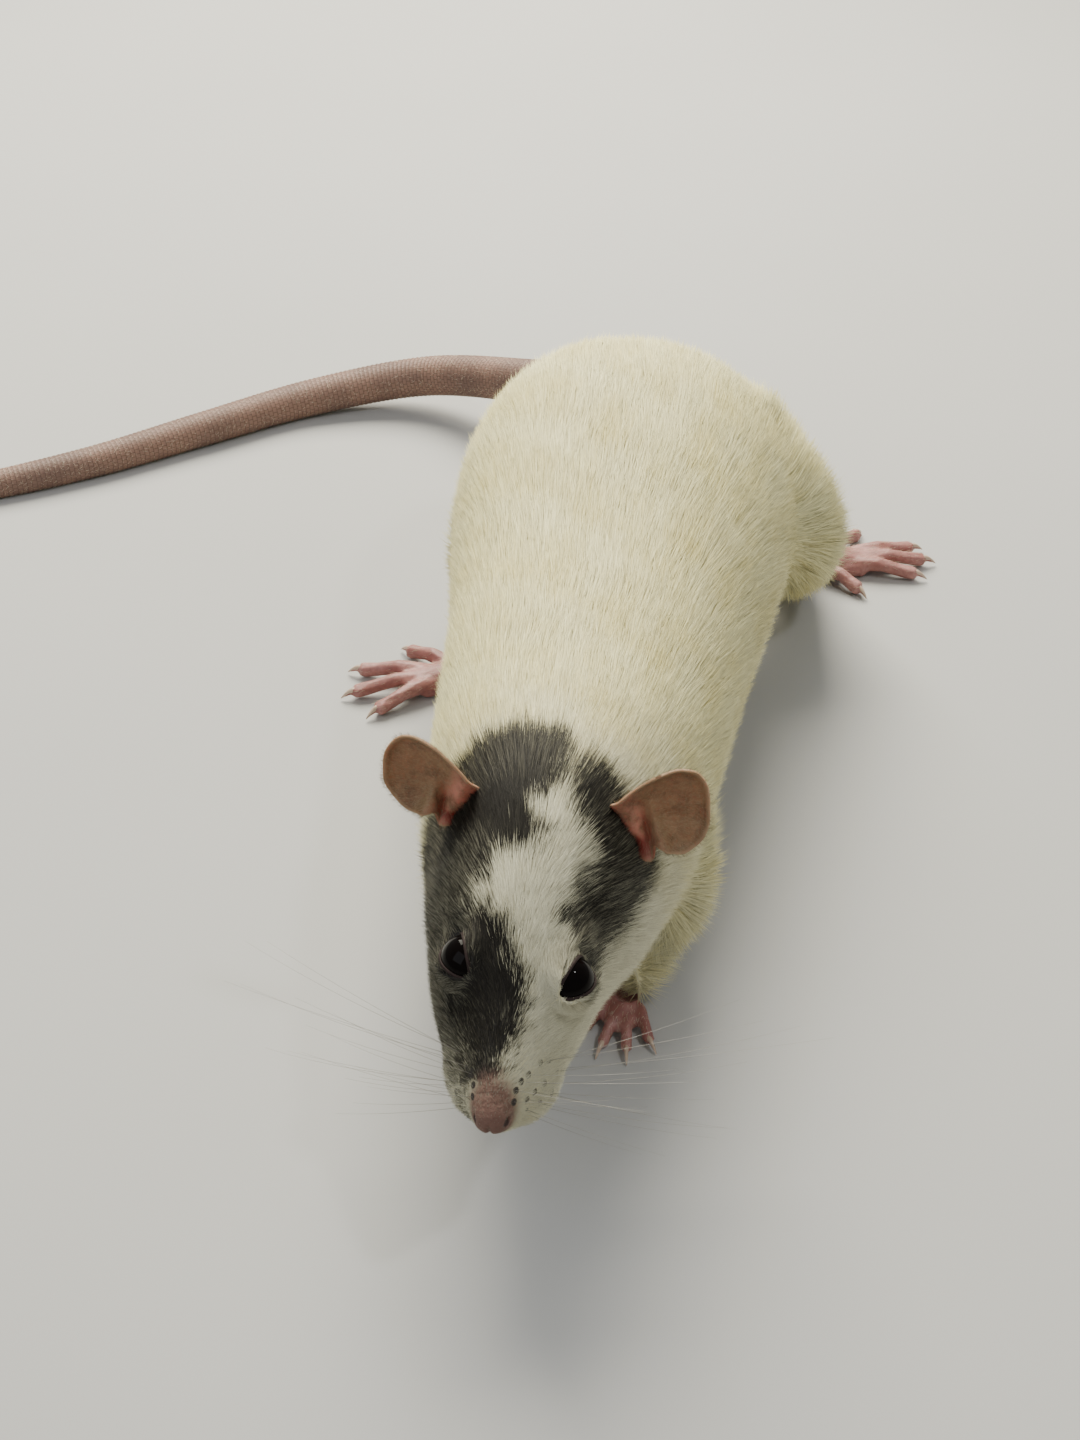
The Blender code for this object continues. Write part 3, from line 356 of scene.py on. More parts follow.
COAT_DEPTH_BACK = [0, 2, 6, 12, 22, 36, 48, 62, 90]
COAT_DEPTHS = [0.02, 0.1, 0.3, 0.5, 0.65, 0.8, 1.1, 1.5, 1.8]


def coat_depth(points, back, out):
    """How deep the coat lies over the skin. The right side of the face is a little fuller than the left."""
    depth = np.interp(back, COAT_DEPTH_BACK, COAT_DEPTHS)
    full = np.exp(-(((back - 17) / 9) ** 2)) * smooth_share(-out, 2.5, 6.0)
    depth -= 1.1 * full * (1 - smooth_share(points[:, 2], 31.5, 35.0))
    depth += 0.9 * np.exp(-(((back - 25) / 7) ** 2)) * smooth_share(out, 4.5, 9.0)
    for centre in EYE_CENTRES:
        gap = gap_to(points, centre) - EYE_RADIUS
        depth = np.minimum(depth, 0.3 + 0.3 * np.maximum(gap - 0.9, 0))
    for x, y in FEET:
        gap = gap_to(points, (x, y, FEET_HEIGHT))
        depth = np.minimum(depth, 0.15 + 0.11 * np.maximum(gap - 3.0, 0))
    gap = gap_to(points, TAIL_START)
    depth = np.minimum(depth, 0.35 + 0.12 * np.maximum(gap - 4.0, 0))
    return depth + 0.9 * smooth_share(along_stub(points), -1.0, 2.4)


def mesh_arrays(mesh):
    """Points in millimetres and point normals of a mesh."""
    count = len(mesh.vertices)
    points, normals = np.empty(count * 3, np.float32), np.empty(count * 3, np.float32)
    mesh.vertices.foreach_get("co", points)
    mesh.vertex_normals.foreach_get("vector", normals)
    return points.reshape(-1, 3).astype(float) / MM, normals.reshape(-1, 3).astype(float)


def set_values(mesh, name, values):
    """A number for each point of a mesh, under a name that materials read."""
    mesh.attributes.new(name, "FLOAT", "POINT").data.foreach_set("value", np.asarray(values, np.float32))


def applied(obj):
    """A new mesh of an object with its modifiers worked in."""
    bpy.context.view_layer.update()
    made = bpy.data.meshes.new_from_object(obj.evaluated_get(bpy.context.evaluated_depsgraph_get()))
    obj.modifiers.clear()
    return made


def remeshed(name, mesh, voxel, smoothing):
    """An object whose skin is drawn afresh over a mesh in even squares, and smoothed."""
    obj = placed(name, mesh)
    remesh = obj.modifiers.new("even", "REMESH")
    remesh.mode = "VOXEL"
    remesh.voxel_size = voxel * MM
    smooth = obj.modifiers.new("soften", "SMOOTH")
    smooth.factor = 0.5
    smooth.iterations = smoothing
    obj.data = applied(obj)
    obj.data.shade_smooth()
    return obj


def refine(mesh, wanted):
    """The faces whose points are wanted, split in four."""
    shape = bmesh.new()
    shape.from_mesh(mesh)
    shape.verts.ensure_lookup_table()
    edges = [e for e in shape.edges if wanted[e.verts[0].index] and wanted[e.verts[1].index]]
    bmesh.ops.subdivide_edges(shape, edges=edges, cuts=1, use_grid_fill=True, smooth=0.8)
    shape.to_mesh(mesh)
    shape.free()
    mesh.shade_smooth()


# The flesh solids joined, with the eyes and the fold of the thigh filled in, under one new skin.
EYE_FILLING = EYE_RADIUS - 0.25
FINE_AREAS = [(3.0, 11.0), (1.0, 3.5)]
shape = bmesh.new()
for name in FLESH:
    shape.from_mesh(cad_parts[name].data)
bmesh.ops.remove_doubles(shape, verts=shape.verts, dist=0.000001)
shape.normal_update()
for vertex in shape.verts:
    vertex.co += vertex.normal * (SEAM_CLOSING * MM)
for centre, radius in [(c, EYE_FILLING) for c in EYE_CENTRES] + [(Vector(THIGH_FOLD), THIGH_FOLD_RADIUS)]:
    place = Matrix.Translation(centre * MM)
    bmesh.ops.create_icosphere(shape, subdivisions=3, radius=radius * MM, matrix=place)
flesh_mesh = bpy.data.meshes.new("flesh")
shape.to_mesh(flesh_mesh)
shape.free()
skin = remeshed("skin", flesh_mesh, SKIN_VOXEL, SKIN_SMOOTHING)
skin_mesh = skin.data
for past_eye, past_nose in FINE_AREAS:
    points = mesh_arrays(skin_mesh)[0]
    by_eye = np.minimum(*[gap_to(points, centre) for centre in EYE_CENTRES]) < EYE_RADIUS + past_eye
    refine(skin_mesh, by_eye | (along_spine(points)[0] < past_nose))
points, normals = mesh_arrays(skin_mesh)
back, out, ahead, left = along_spine(points)
points -= normals * (SEAM_CLOSING + coat_depth(points, back, out))[:, None]

# The lids hug the globe of the eye and rise from it a little.
LID_THICK, LID_RISE, LID_SWELL, LID_REACH, GLOBE_SUNK = 0.1, 0.75, 0.12, 4.5, 0.45
for eye in EYES:
    share, aside, edge, height = from_opening(points, eye)
    beyond = np.maximum(aside - edge, 0)
    lid_radius = EYE_RADIUS + LID_THICK
    over_globe = np.sqrt(np.maximum((EYE_RADIUS - GLOBE_SUNK) ** 2 - aside**2, 0.0))
    at_edge = np.sqrt(np.maximum(lid_radius**2 - np.minimum(edge, EYE_RADIUS) ** 2, 0.0))
    most = at_edge + LID_RISE * beyond
    hug = np.sqrt(np.maximum((lid_radius + LID_SWELL * np.minimum(beyond, 1)) ** 2 - aside**2, 0.0))
    least = np.where(hug > 0, hug, -9.0)
    wanted = np.where(share < 1, over_globe, np.maximum(np.minimum(height, most), least))
    wanted = np.where((share < BEHIND_EYE) & (aside < edge + LID_REACH), wanted, height)
    points += np.array(eye[1]) * (wanted - height)[:, None]

# The nostrils are slanting pits, with the cleft between and below them.
NOSTRIL_WIDTH, NOSTRIL_LENGTH, NOSTRIL_DEPTH = 0.3, 0.8, 0.6
CLEFT_WIDTH, CLEFT_DEPTH, CLEFT_TOP = 0.28, 0.4, 28.6
NOSTRILS = [on_body(0.9, way * 1.9, 27.7) for way in (-1, 1)]
for way, place in zip((-1, 1), NOSTRILS):
    inward = np.array(body_way(0.0, way * -0.7, -0.8, 0.1))
    line = np.array(body_way(0.0, way * 0.45, -0.35, 0.4))
    step = points - np.array(place)
    along = step @ line
    off = np.linalg.norm(step - along[:, None] * line, axis=1)
    pit = np.exp(-((off / NOSTRIL_WIDTH) ** 2) - (np.abs(along) / NOSTRIL_LENGTH) ** 4)
    points += inward * (NOSTRIL_DEPTH * pit)[:, None]
cleft = np.exp(-((out / CLEFT_WIDTH) ** 2)) * (back < 4.5) * smooth_share(CLEFT_TOP - points[:, 2], 0.3, 1.5)
points -= ahead * (CLEFT_DEPTH * cleft)[:, None]
skin_mesh.vertices.foreach_set("co", (points * MM).astype(np.float32).ravel())
skin_mesh.update()
points, normals = mesh_arrays(skin_mesh)

# The roots of the whiskers, as back, out and height on the left side. Each shows as a dark dot.
WHISKER_ROOTS = [
    (2.8, 2.7, 29.4), (3.8, 2.8, 30.4), (5.0, 3.2, 30.8), (6.3, 3.8, 30.7), (8.6, 4.8, 30.5),
    (4.6, 4.0, 28.0), (6.1, 4.6, 27.9), (7.9, 5.6, 27.7), (9.9, 5.6, 29.7), (4.2, 4.2, 26.4),
    (6.2, 5.4, 25.8), (8.4, 6.4, 25.4), (10.6, 6.8, 27.0), (5.0, 4.8, 24.2), (7.2, 6.2, 23.6),
    (9.6, 7.2, 23.4), (12.0, 7.4, 26.0),
]
BODY_MIDDLE, BODY_RADIUS = 26.0, 22.0


def spots(points, places, full, none):
    """How strong a round spot is at each point: 1 within full of one of the places, 0 beyond none."""
    strongest = np.zeros(len(points))
    for place in places:
        strongest = np.maximum(strongest, 1 - smooth_share(gap_to(points, place), full, none))
    return strongest


pore = spots(points, [on_body(b, way * o, h) for way in (-1, 1) for b, o, h in WHISKER_ROOTS], 0.25, 0.65)
grey = smooth_share(greyness(points, back, out), -0.7, 0.9)
# The skin's grey holds the markings and, round the eyes, painted shade of the lids and brow.
set_values(skin_mesh, "grey", np.maximum(grey, 0.75 * painted_eye_shade(points)))
set_values(skin_mesh, "bare", pinkness(points, back))
set_values(skin_mesh, "back", back)
set_values(skin_mesh, "pore", pore)
set_values(skin_mesh, "nostril", spots(points, NOSTRILS, 0.35, 0.85))
set_values(skin_mesh, "round", np.arctan2(out, points[:, 2] - BODY_MIDDLE) * BODY_RADIUS)


def coat_colours(tree, grey, warm, back):
    """The coat's colour: grey, or white on the face turning to cream on the body, with warmer hairs."""
    cream = stain(tree, "#e2dfc4", "#f8f2be", back, 34.0, 66.0)
    cream = stain(tree, cream, "#e6d994", warm)
    return stain(tree, cream, "#1a1714", grey)


# Living skin under short fur: matt, streaked along the lie of the hair in strands drawn about 0.6 mm apart,
# coarser than real hair so that they show. At the nose it is bare, tan and finely grained.
skin_look, tree, shader = new_material("rat_skin_under_fur")
carried = ("grey", "bare", "back", "round", "pore", "nostril")
values = {n: add(tree, "ShaderNodeAttribute", {}, attribute_name=n).outputs["Fac"] for n in carried}
lay = add(tree, "ShaderNodeCombineXYZ", {0: values["back"], 1: values["round"], 2: 0.0})
stretch = (0.35 * MM, 3.2 * MM, MM)
strands = add(tree, "ShaderNodeMapping", {"Vector": lay.outputs[0], "Scale": stretch}).outputs[0]
streak = clouds(tree, 0.625, 4.0, 0.6, strands)
warm_streak = {0: streak, 1: 0.35, 2: 0.75, 3: 0.0, 4: 0.6}
warm = add(tree, "ShaderNodeMapRange", warm_streak, interpolation_type="SMOOTHSTEP").outputs[0]
colour = coat_colours(tree, values["grey"], warm, values["back"])
colour = stain(tree, colour, "#8d8570", streak, 0.3, 0.6, 0.35, 0.0, "MULTIPLY")
grain = clouds(tree, 0.5556, 4.0, 0.65)
blotch = clouds(tree, 1.613, 3.0, 0.6)
nose_colour = stain(tree, "#86695a", "#5c4337", grain, 0.35, 0.65)
nose_colour = stain(tree, nose_colour, "#5e4135", blotch, 0.42, 0.62, 0.0, 0.55)
nose_colour = stain(tree, nose_colour, "#62443a", values["back"], 0.2, 2.4, 0.85, 0.0)
colour = stain(tree, colour, nose_colour, values["bare"])
colour = stain(tree, colour, "#1f1613", values["pore"], 0.05, 0.6, 0.0, 0.95)
# Painted shade: the nostril pits are darkened almost to black, as the shade within the openings.
colour = stain(tree, colour, "#2a1613", values["nostril"], 0.2, 1.0, 0.0, 0.9)
relief = stain(tree, streak, grain, values["bare"])
finish_look(tree, shader, colour, roughness=0.75, relief=relief, strength=0.8, depth=0.4)
skin_mesh.materials.clear()
skin_mesh.materials.append(skin_look)
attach(skin, "root")
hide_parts(*FLESH)

# The coat.
# Real fur is fine tapering hairs that lie from nose to tail and cling together in small locks. A tuft here
# is one thin closed spike with three sides, thicker than a hair so that it shows, and rooted in the skin.
COAT_SEED, PIECE_TUFTS = 11, 46000

# Tuft sizes in millimetres, their lift in degrees and their count, at steps back from the nose.
BACK_STEPS = [0.0, 2.0, 5.0, 10.0, 16.0, 26.0, 36.0, 46.0, 60.0, 80.0, 175.0]
LENGTHS = [0.3, 0.45, 0.8, 1.2, 1.8, 2.6, 3.3, 3.9, 4.6, 5.2, 5.6]
WIDTHS = [0.04, 0.05, 0.06, 0.07, 0.08, 0.09, 0.10, 0.12, 0.15, 0.185, 0.195]
LIFTS = [26.0, 23.0, 19.0, 17.0, 16.0, 16.0, 16.0, 15.0, 14.0, 13.0, 13.0]
TUFTS_PER_MM2 = [22.0, 34.0, 54.0, 50.0, 42.0, 33.0, 26.0, 19.0, 12.0, 8.8, 8.2]
UV_PATCH, UV_MARGIN, UV_FILLED = 0.003, 0.02, 0.95
OFF_FLOOR, HEAD_END = 0.02, 50


def unwrapped(points, normals):
    """Places on an unwrap of the skin: six views along the axes, side by side, each for what faces it."""
    low, high = points.min(0), points.max(0)
    share = (points - low) / (high - low)
    axis = np.abs(normals).argmax(1)
    facing = normals[np.arange(len(points)), axis] > 0
    across = np.where(axis == 1, share[:, 0], share[:, 1])
    upward = np.where(axis == 2, share[:, 0], share[:, 2])
    u = (axis + UV_MARGIN + UV_FILLED * across) / 3
    v = (facing + UV_MARGIN + UV_FILLED * upward) / 2
    return np.stack([u, v], axis=1)


def spikes(name, roots, normals, ways, lengths, widths, lifts, droop, segments, uv, values, material):
    """One mesh of thin closed spikes with three sides, each bent towards the surface it grows from."""
    count = len(roots)
    side = np.cross(ways, normals)
    side /= np.linalg.norm(side, axis=1)[:, None]
    centre = roots - normals * (widths * 0.6)[:, None]
    rings, shares = [], []
    for k in range(segments + 1):
        share = k / segments
        lift = lifts * (1 - droop * share)
        along = ways * np.cos(lift)[:, None] + normals * np.sin(lift)[:, None]
        up = normals * np.cos(lift)[:, None] - ways * np.sin(lift)[:, None]
        half = widths / 2 * (1 - 0.75 * share**1.5)
        if k < segments:
            rings.append(centre + side * half[:, None])
            rings.append(centre - side * half[:, None])
            rings.append(centre + up * (half * 0.9)[:, None])
            shares += [share] * 3
        else:
            rings.append(centre)
            shares.append(1.0)
        centre = centre + along * (lengths / segments)[:, None]
    corners = np.stack(rings, axis=1)
    corners[..., 2] = np.maximum(corners[..., 2], OFF_FLOOR)
    per = corners.shape[1]
    faces = [(0, 2, 1)]
    for k in range(segments - 1):
        a, b = 3 * k, 3 * k + 3
        for i, j in ((2, 0), (1, 2), (0, 1)):
            faces += [(a + i, a + j, b + j), (a + i, b + j, b + i)]
    a = 3 * (segments - 1)
    faces += [(a + 2, a, per - 1), (a + 1, a + 2, per - 1), (a, a + 1, per - 1)]
    index = (np.arange(count)[:, None, None] * per + np.array(faces)[None]).ravel()
    mesh = bpy.data.meshes.new(name)
    mesh.vertices.add(count * per)
    mesh.vertices.foreach_set("co", (corners * MM).astype(np.float32).ravel())
    mesh.loops.add(len(index))
    mesh.loops.foreach_set("vertex_index", index.astype(np.int32))
    mesh.polygons.add(len(index) // 3)
    mesh.polygons.foreach_set("loop_start", np.arange(0, len(index), 3, dtype=np.int32))
    mesh.update(calc_edges=True)
    mesh.shade_smooth()
    on_patch = [((0.1, 0.9, 0.5)[p % 3] if p < per - 1 else 0.5, shares[p]) for p in range(per)]
    patch = uv[:, None, :] + np.array(on_patch)[None] * UV_PATCH
    layout = mesh.uv_layers.new(name="OFBake")
    layout.data.foreach_set("uv", patch.reshape(-1, 2)[index].astype(np.float32).ravel())
    for key, value in values.items():
        set_values(mesh, key, np.repeat(value, per))
    set_values(mesh, "along", np.tile(shares, count))
    ring_out = np.stack([side, -side, normals] * segments + [normals], axis=1).reshape(-1, 3)
    soft = np.repeat(normals, per, axis=0) * 0.8 + ring_out * 0.55
    soft /= np.linalg.norm(soft, axis=1)[:, None]
    mesh.normals_split_custom_set_from_vertices(soft)
    obj = placed(name, mesh)
    mesh.materials.append(material)
    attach(obj, "root")
    return obj


# Short dense fur: softly matt, each tuft a little lighter or darker than the next, and darker at its root as
# painted shade between the tufts.
fur_look, tree, shader = new_material("short_rat_fur")
carried = ("grey", "back", "along", "shade", "warm")
values = {n: add(tree, "ShaderNodeAttribute", {}, attribute_name=n).outputs["Fac"] for n in carried}
colour = coat_colours(tree, values["grey"], values["warm"], values["back"])
tone = stain(tree, "#a6a194", "#ffffff", values["shade"])
colour = stain(tree, colour, tone, 1.0, how="MULTIPLY")
# Painted shade: each tuft darkens towards its root, where the coat shades itself.
colour = stain(tree, colour, "#9a9385", values["along"], 0.0, 0.5, 0.35, 0.0, "MULTIPLY")
finish_look(tree, shader, colour, roughness=0.55, shine=0.13)

# How close the tufts stand, triangle by triangle: none in the eyes and few on the whisker roots.
draw = np.random.default_rng(COAT_SEED)
skin_mesh.calc_loop_triangles()
triangles = np.empty(len(skin_mesh.loop_triangles) * 3, np.int32)
skin_mesh.loop_triangles.foreach_get("vertices", triangles)
triangles = triangles.reshape(-1, 3)
corners = points[triangles]
areas = np.linalg.norm(np.cross(corners[:, 1] - corners[:, 0], corners[:, 2] - corners[:, 0]), axis=1) / 2
middles = corners.mean(1)
middle_back = back[triangles].mean(1)
density = np.interp(middle_back, BACK_STEPS, TUFTS_PER_MM2)
for eye in EYES:
    share, aside, edge, height = from_opening(middles, eye)
    by_eye = (share < BEHIND_EYE) & (aside < edge + 2.2)
    density *= np.where(by_eye, np.where(aside > edge + 0.3, 1.4, 0.0), 1.0)
density *= 1 + 1.2 * (1 - smooth_share(middles[:, 2], 8.0, 20.0)) * (middle_back > 52)
density *= 1 - 0.85 * pore[triangles].max(1)
facing_down = normals[triangles].mean(1)[:, 2] < -0.6
density[facing_down] *= 0.55
by_tail = 1 - smooth_share(gap_to(middles, TAIL_START), 4.0, 10.0)
density *= (1 + by_tail) * (along_stub(middles) < 1.9)
weight = areas * density
total = int(weight.sum())
picked = np.searchsorted(np.cumsum(weight), draw.uniform(0, weight.sum(), total))
shares = draw.uniform(size=(total, 2))
over = shares.sum(1) > 1
shares[over] = 1 - shares[over]
shares = np.column_stack([1 - shares.sum(1), shares])
roots = (points[triangles[picked]] * shares[..., None]).sum(1)
root_normals = (normals[triangles[picked]] * shares[..., None]).sum(1)
root_normals /= np.linalg.norm(root_normals, axis=1)[:, None]
root_back, root_out, root_ahead, root_left = along_spine(roots)


def lie_of_coat(roots, normals, back, out, ahead, left):
    """The way the hair lies: from nose to tail, down the sides and down the legs, with small swirls."""
    steep = 1 - np.clip(normals[:, 2], 0, 1)
    drop = np.interp(back, [0, 12, 28, 48, 90, 140, 172], [0.1, 0.2, 0.55, 0.45, 0.3, 0.45, 1.1]) * steep
    drop = drop + 1.3 * (1 - smooth_share(roots[:, 2], 9.0, 22.0)) * (back > HEAD_END)
    fan = np.interp(back, [0, 14, 24, 44, 60], [0.0, 0.12, 0.18, 0.12, 0.0])
    fan = fan * np.sign(out) * np.minimum(np.abs(out) / 8, 1)
    way = -ahead + left * fan[:, None]
    way[:, 2] -= drop
    way += left * (0.10 * waves(roots, 16.0, 21) + 0.07 * waves(roots, 3.5, 22))[:, None]
    way[:, 2] += 0.07 * waves(roots, 6.0, 23)
    way += draw.normal(size=way.shape) * 0.07
    on_stub = smooth_share(along_stub(roots), -7.0, -2.0)[:, None]
    way = way * (1 - on_stub) + np.array(TAIL_WAY) * on_stub
    way -= normals * (way * normals).sum(1)[:, None]
    return way / np.linalg.norm(way, axis=1)[:, None]


# The size and stand of each tuft: shorter on the legs, the root of the tail and round the eyes.
ways = lie_of_coat(roots, root_normals, root_back, root_out, root_ahead, root_left)
lengths = np.interp(root_back, BACK_STEPS, LENGTHS) * draw.normal(1.0, 0.16, total).clip(0.55, 1.5)
widths = np.interp(root_back, BACK_STEPS, WIDTHS) * draw.uniform(0.75, 1.25, total)
low_legs = (1 - smooth_share(roots[:, 2], 6.0, 18.0)) * (root_back > HEAD_END)
lengths *= (1 - 0.3 * low_legs) * (1 - 0.68 * smooth_share(along_stub(roots), -6.0, 1.0))
widths *= 1 - 0.35 * low_legs
for eye in EYES:
    share, aside, edge, height = from_opening(roots, eye)
    near = np.where(share < BEHIND_EYE, smooth_share(aside - edge, 0.2, 1.6), 1.0)
    tip_share = from_opening(roots + ways * (lengths * 0.75)[:, None], eye)[0]
    over_eye = (share < BEHIND_EYE) & (tip_share < 1.15)
    lengths *= (0.75 + 0.25 * near) * np.where(over_eye, 0.5, 1.0)
    widths *= 0.8 + 0.2 * near
lifts = np.interp(root_back, BACK_STEPS, LIFTS) * draw.uniform(0.6, 1.35, total)
head_side = (1 - np.clip(root_normals[:, 2] * 2, 0, 1)) * (root_back < HEAD_END)
lifts = np.radians(lifts * (1 + 0.45 * head_side))

# The colour of each tuft: light hairs stand among the grey, most on the cheeks and fewest on the crown, and
# more where the coat faces sideways, partly real light hairs and partly painted light on the sides.
CROWN = (33, -5)
root_grey = greyness(roots, root_back, root_out)
is_grey = root_grey + draw.normal(0, 0.75, total) > 0
root_bare = pinkness(roots, root_back)
# Painted light: more light hairs where the coat faces sideways lift the sides that face away from the
# overhead lamp.
painted_side_light = 1 - smooth_share(root_normals[:, 2], 0.2, 0.85)
light = np.clip(draw.uniform(size=total) + 0.10 * waves(roots, 8.0, 35) + 0.28 * painted_side_light - 0.08, 0, 1)
pale_cheeks = np.where(root_out > 3.0, 0.16, 0.18 * smooth_share(-root_out, 3.0, 6.0) * (root_back < 32))
from_crown = ((root_back - CROWN[0]) / 4.5) ** 2 + ((root_out - CROWN[1]) / 4) ** 2
light = np.clip(light + pale_cheeks - 0.27 * np.exp(-from_crown), 0, 1)
grey_hair = np.interp(light, [0, 0.55, 0.85, 1.0], [1.0, 0.99, 0.95, 0.74])
fade = 0.45 * smooth_share(root_grey, -1.8, 0) * draw.uniform(size=total)
# Round the eyes cream tufts turn grey, partly grey hair and partly painted shade of the lids and brow.
fade = np.maximum(fade, painted_eye_shade(roots) * draw.uniform(0.4, 1.0, total))
grey_value = np.maximum(np.where(is_grey, grey_hair, fade), 0.6 * root_bare)
warm = 0.25 + 0.25 * waves(roots, 9.0, 31) + draw.normal(0, 0.2, total)
warm = np.clip(warm, 0, 1) * smooth_share(root_back, 30, 60)
shade = np.clip(0.8 + 0.10 * waves(roots, 2.2, 33) + draw.normal(0, 0.2, total), 0.0, 1.0)
root_uv = unwrapped(roots, root_normals)
keep = draw.uniform(size=total) > root_bare * 0.85
for grey_side in (True, False):
    wanted = np.flatnonzero(keep & (is_grey == grey_side))
    wanted = wanted[np.argsort(root_back[wanted], kind="stable")]
    groups = np.array_split(wanted, max(1, math.ceil(len(wanted) / PIECE_TUFTS)))
    for n, rows in enumerate(groups):
        values = dict(grey=grey_value[rows], back=root_back[rows], shade=shade[rows], warm=warm[rows])
        piece = spikes(
            ("coat_grey_" if grey_side else "coat_cream_") + str(n + 1), roots[rows], root_normals[rows],
            ways[rows], lengths[rows], widths[rows], lifts[rows], 0.0, 1, root_uv[rows], values, fur_look,
        )

# The longer guard hairs behind the ears stand up a little and back, over the edge of the hood.
GUARD_HAIRS, GUARD_LENGTH, GUARD_WIDTH = 520, 4.8, 0.075
hood_edge = (root_back > 38) & (root_back < 50.5) & (root_grey > -0.4)
hood_edge &= (np.abs(root_out + 2) < 7) & (roots[:, 2] > 34)
rows = draw.choice(np.flatnonzero(hood_edge), GUARD_HAIRS)
values = dict(grey=draw.uniform(0.85, 1.0, GUARD_HAIRS), back=root_back[rows])
values.update(shade=draw.uniform(0.2, 0.7, GUARD_HAIRS), warm=np.zeros(GUARD_HAIRS))
guard_lengths = GUARD_LENGTH * draw.uniform(0.7, 1.35, GUARD_HAIRS)
guard_lifts = np.radians(draw.uniform(22, 48, GUARD_HAIRS))
guard = spikes(
    "coat_guard_hairs", roots[rows], root_normals[rows], ways[rows], guard_lengths,
    np.full(GUARD_HAIRS, GUARD_WIDTH), guard_lifts, 0.4, 2, root_uv[rows], values, fur_look,
)

# The eyes.
# Wet black globes that fill the opening between the lids, with a thin dark rim of bare lid round each. The
# rim is thickest at the front corner.
GLOBE_RINGS, GLOBE_SIDES = 31, 48
LID_RIM, LID_OFF_GLOBE, RIM_STEPS, RIM_SIDES = 0.2, 0.08, 64, 8
CORNER_SWELL, CORNER_SHARPNESS = 0.9, 10


def new_piece(name, rows, faces, material):
    """A shaded mesh from points in millimetres, fixed to the body."""
    mesh = bpy.data.meshes.new(name)
    mesh.from_pydata([tuple(Vector(p) * MM) for p in rows], [], faces)
    mesh.validate()
    faced_outwards(mesh)
    mesh.shade_smooth()
    mesh.materials.append(material)
    obj = placed(name, mesh)
    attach(obj, "root")
    return obj


def faced_outwards(mesh):
    """A closed mesh with all its faces turned to look outwards."""
    shape = bmesh.new()
    shape.from_mesh(mesh)
    bmesh.ops.recalc_face_normals(shape, faces=shape.faces)
    shape.to_mesh(mesh)
    shape.free()


def ring(middle, aside, upward, sides, lowest=-math.inf):
    """Points in a ring about a middle, none below a height."""
    turns = [2 * math.pi * k / sides for k in range(sides)]
    points = [middle + aside * math.cos(turn) + upward * math.sin(turn) for turn in turns]
    for point in points:
        point.z = max(point.z, lowest)
    return points


def ring_faces(rings, sides, closed=False):
    """Faces between rings of equal count, the last joined to the first if closed."""
    faces = []
    for r in range(rings if closed else rings - 1):
        for s in range(sides):
            n, q = (s + 1) % sides, (r + 1) % rings
            faces.append((r * sides + s, r * sides + n, q * sides + n, q * sides + s))
    return faces


def tube_faces(base, rings, sides):
    """Faces of a tube of rings whose points start at base, closed at both ends."""
    faces = [tuple(base + i for i in face) for face in ring_faces(rings, sides)]
    end = base + (rings - 1) * sides
    return faces + [tuple(range(base, base + sides)), tuple(range(end, end + sides))]


def two_tone(name, size, first, second, roughness, shine=0.5, strength=0.0, depth=0.0):
    """A material of two near tones in clouds of a size in millimetres, which can also stand in relief."""
    look, tree, shader = new_material(name)
    cloud = clouds(tree, size)
    colour = stain(tree, first, second, cloud)
    finish_look(tree, shader, colour, roughness, shine, cloud if depth else None, strength, depth)
    return look


# The tear film over the globe: black, and smooth enough to mirror the lamps as sharp small glints.
eye_look = two_tone("wet_eye", 1.111, "#050404", "#0d0807", roughness=0.05)
eye_look.node_tree.nodes["Principled BSDF"].inputs["IOR"].default_value = 1.15

# Bare lid: dark brown skin with a fine grain and hardly any shine.
fine_grain = dict(strength=0.4, depth=0.05)
lid_look = two_tone("bare_lid_rim", 0.6667, "#1d1716", "#3a2c29", roughness=0.6, shine=0.15, **fine_grain)
for name, (centre, outward, long, across) in zip(("right", "left"), EYES):
    rows = []
    for i in range(1, GLOBE_RINGS + 1):
        polar = math.pi * i / (GLOBE_RINGS + 1)
        reach, height = EYE_RADIUS * math.sin(polar), EYE_RADIUS * math.cos(polar)
        rows += ring(centre + outward * height, long * reach, across * reach, GLOBE_SIDES)
    faces = ring_faces(GLOBE_RINGS, GLOBE_SIDES)
    for pole, first in ((len(rows), 0), (len(rows) + 1, (GLOBE_RINGS - 1) * GLOBE_SIDES)):
        faces += [(first + k, first + (k + 1) % GLOBE_SIDES, pole) for k in range(GLOBE_SIDES)]
    rows += [centre + outward * EYE_RADIUS, centre - outward * EYE_RADIUS]
    eye = new_piece("eye_" + name + "_globe", rows, faces, eye_look)
    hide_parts("eye_" + name)
    rows = []
    for k in range(RIM_STEPS):
        angle = 2 * math.pi * k / RIM_STEPS
        x = math.cos(angle) * LID_LENGTH / 2
        y = math.sin(angle) * LID_HEIGHT / 2 * (1 - LID_POINT * math.cos(angle))
        reach = math.sqrt(EYE_RADIUS**2 - x * x - y * y)
        on_globe = (long * x + across * y + outward * reach).normalized()
        flat = (long * (x / LID_LENGTH**2) + across * (y / LID_HEIGHT**2)).normalized()
        side = (flat - on_globe * flat.dot(on_globe)).normalized()
        width = LID_RIM * (1 + CORNER_SWELL * max(0.0, math.cos(angle)) ** CORNER_SHARPNESS)
        middle = centre + on_globe * (EYE_RADIUS + LID_OFF_GLOBE) + side * (width * 0.9)
        rows += ring(middle, side * (width * 1.3), on_globe * (width * 0.8), RIM_SIDES)
    new_piece("lid_" + name, rows, ring_faces(RIM_STEPS, RIM_SIDES, True), lid_look)

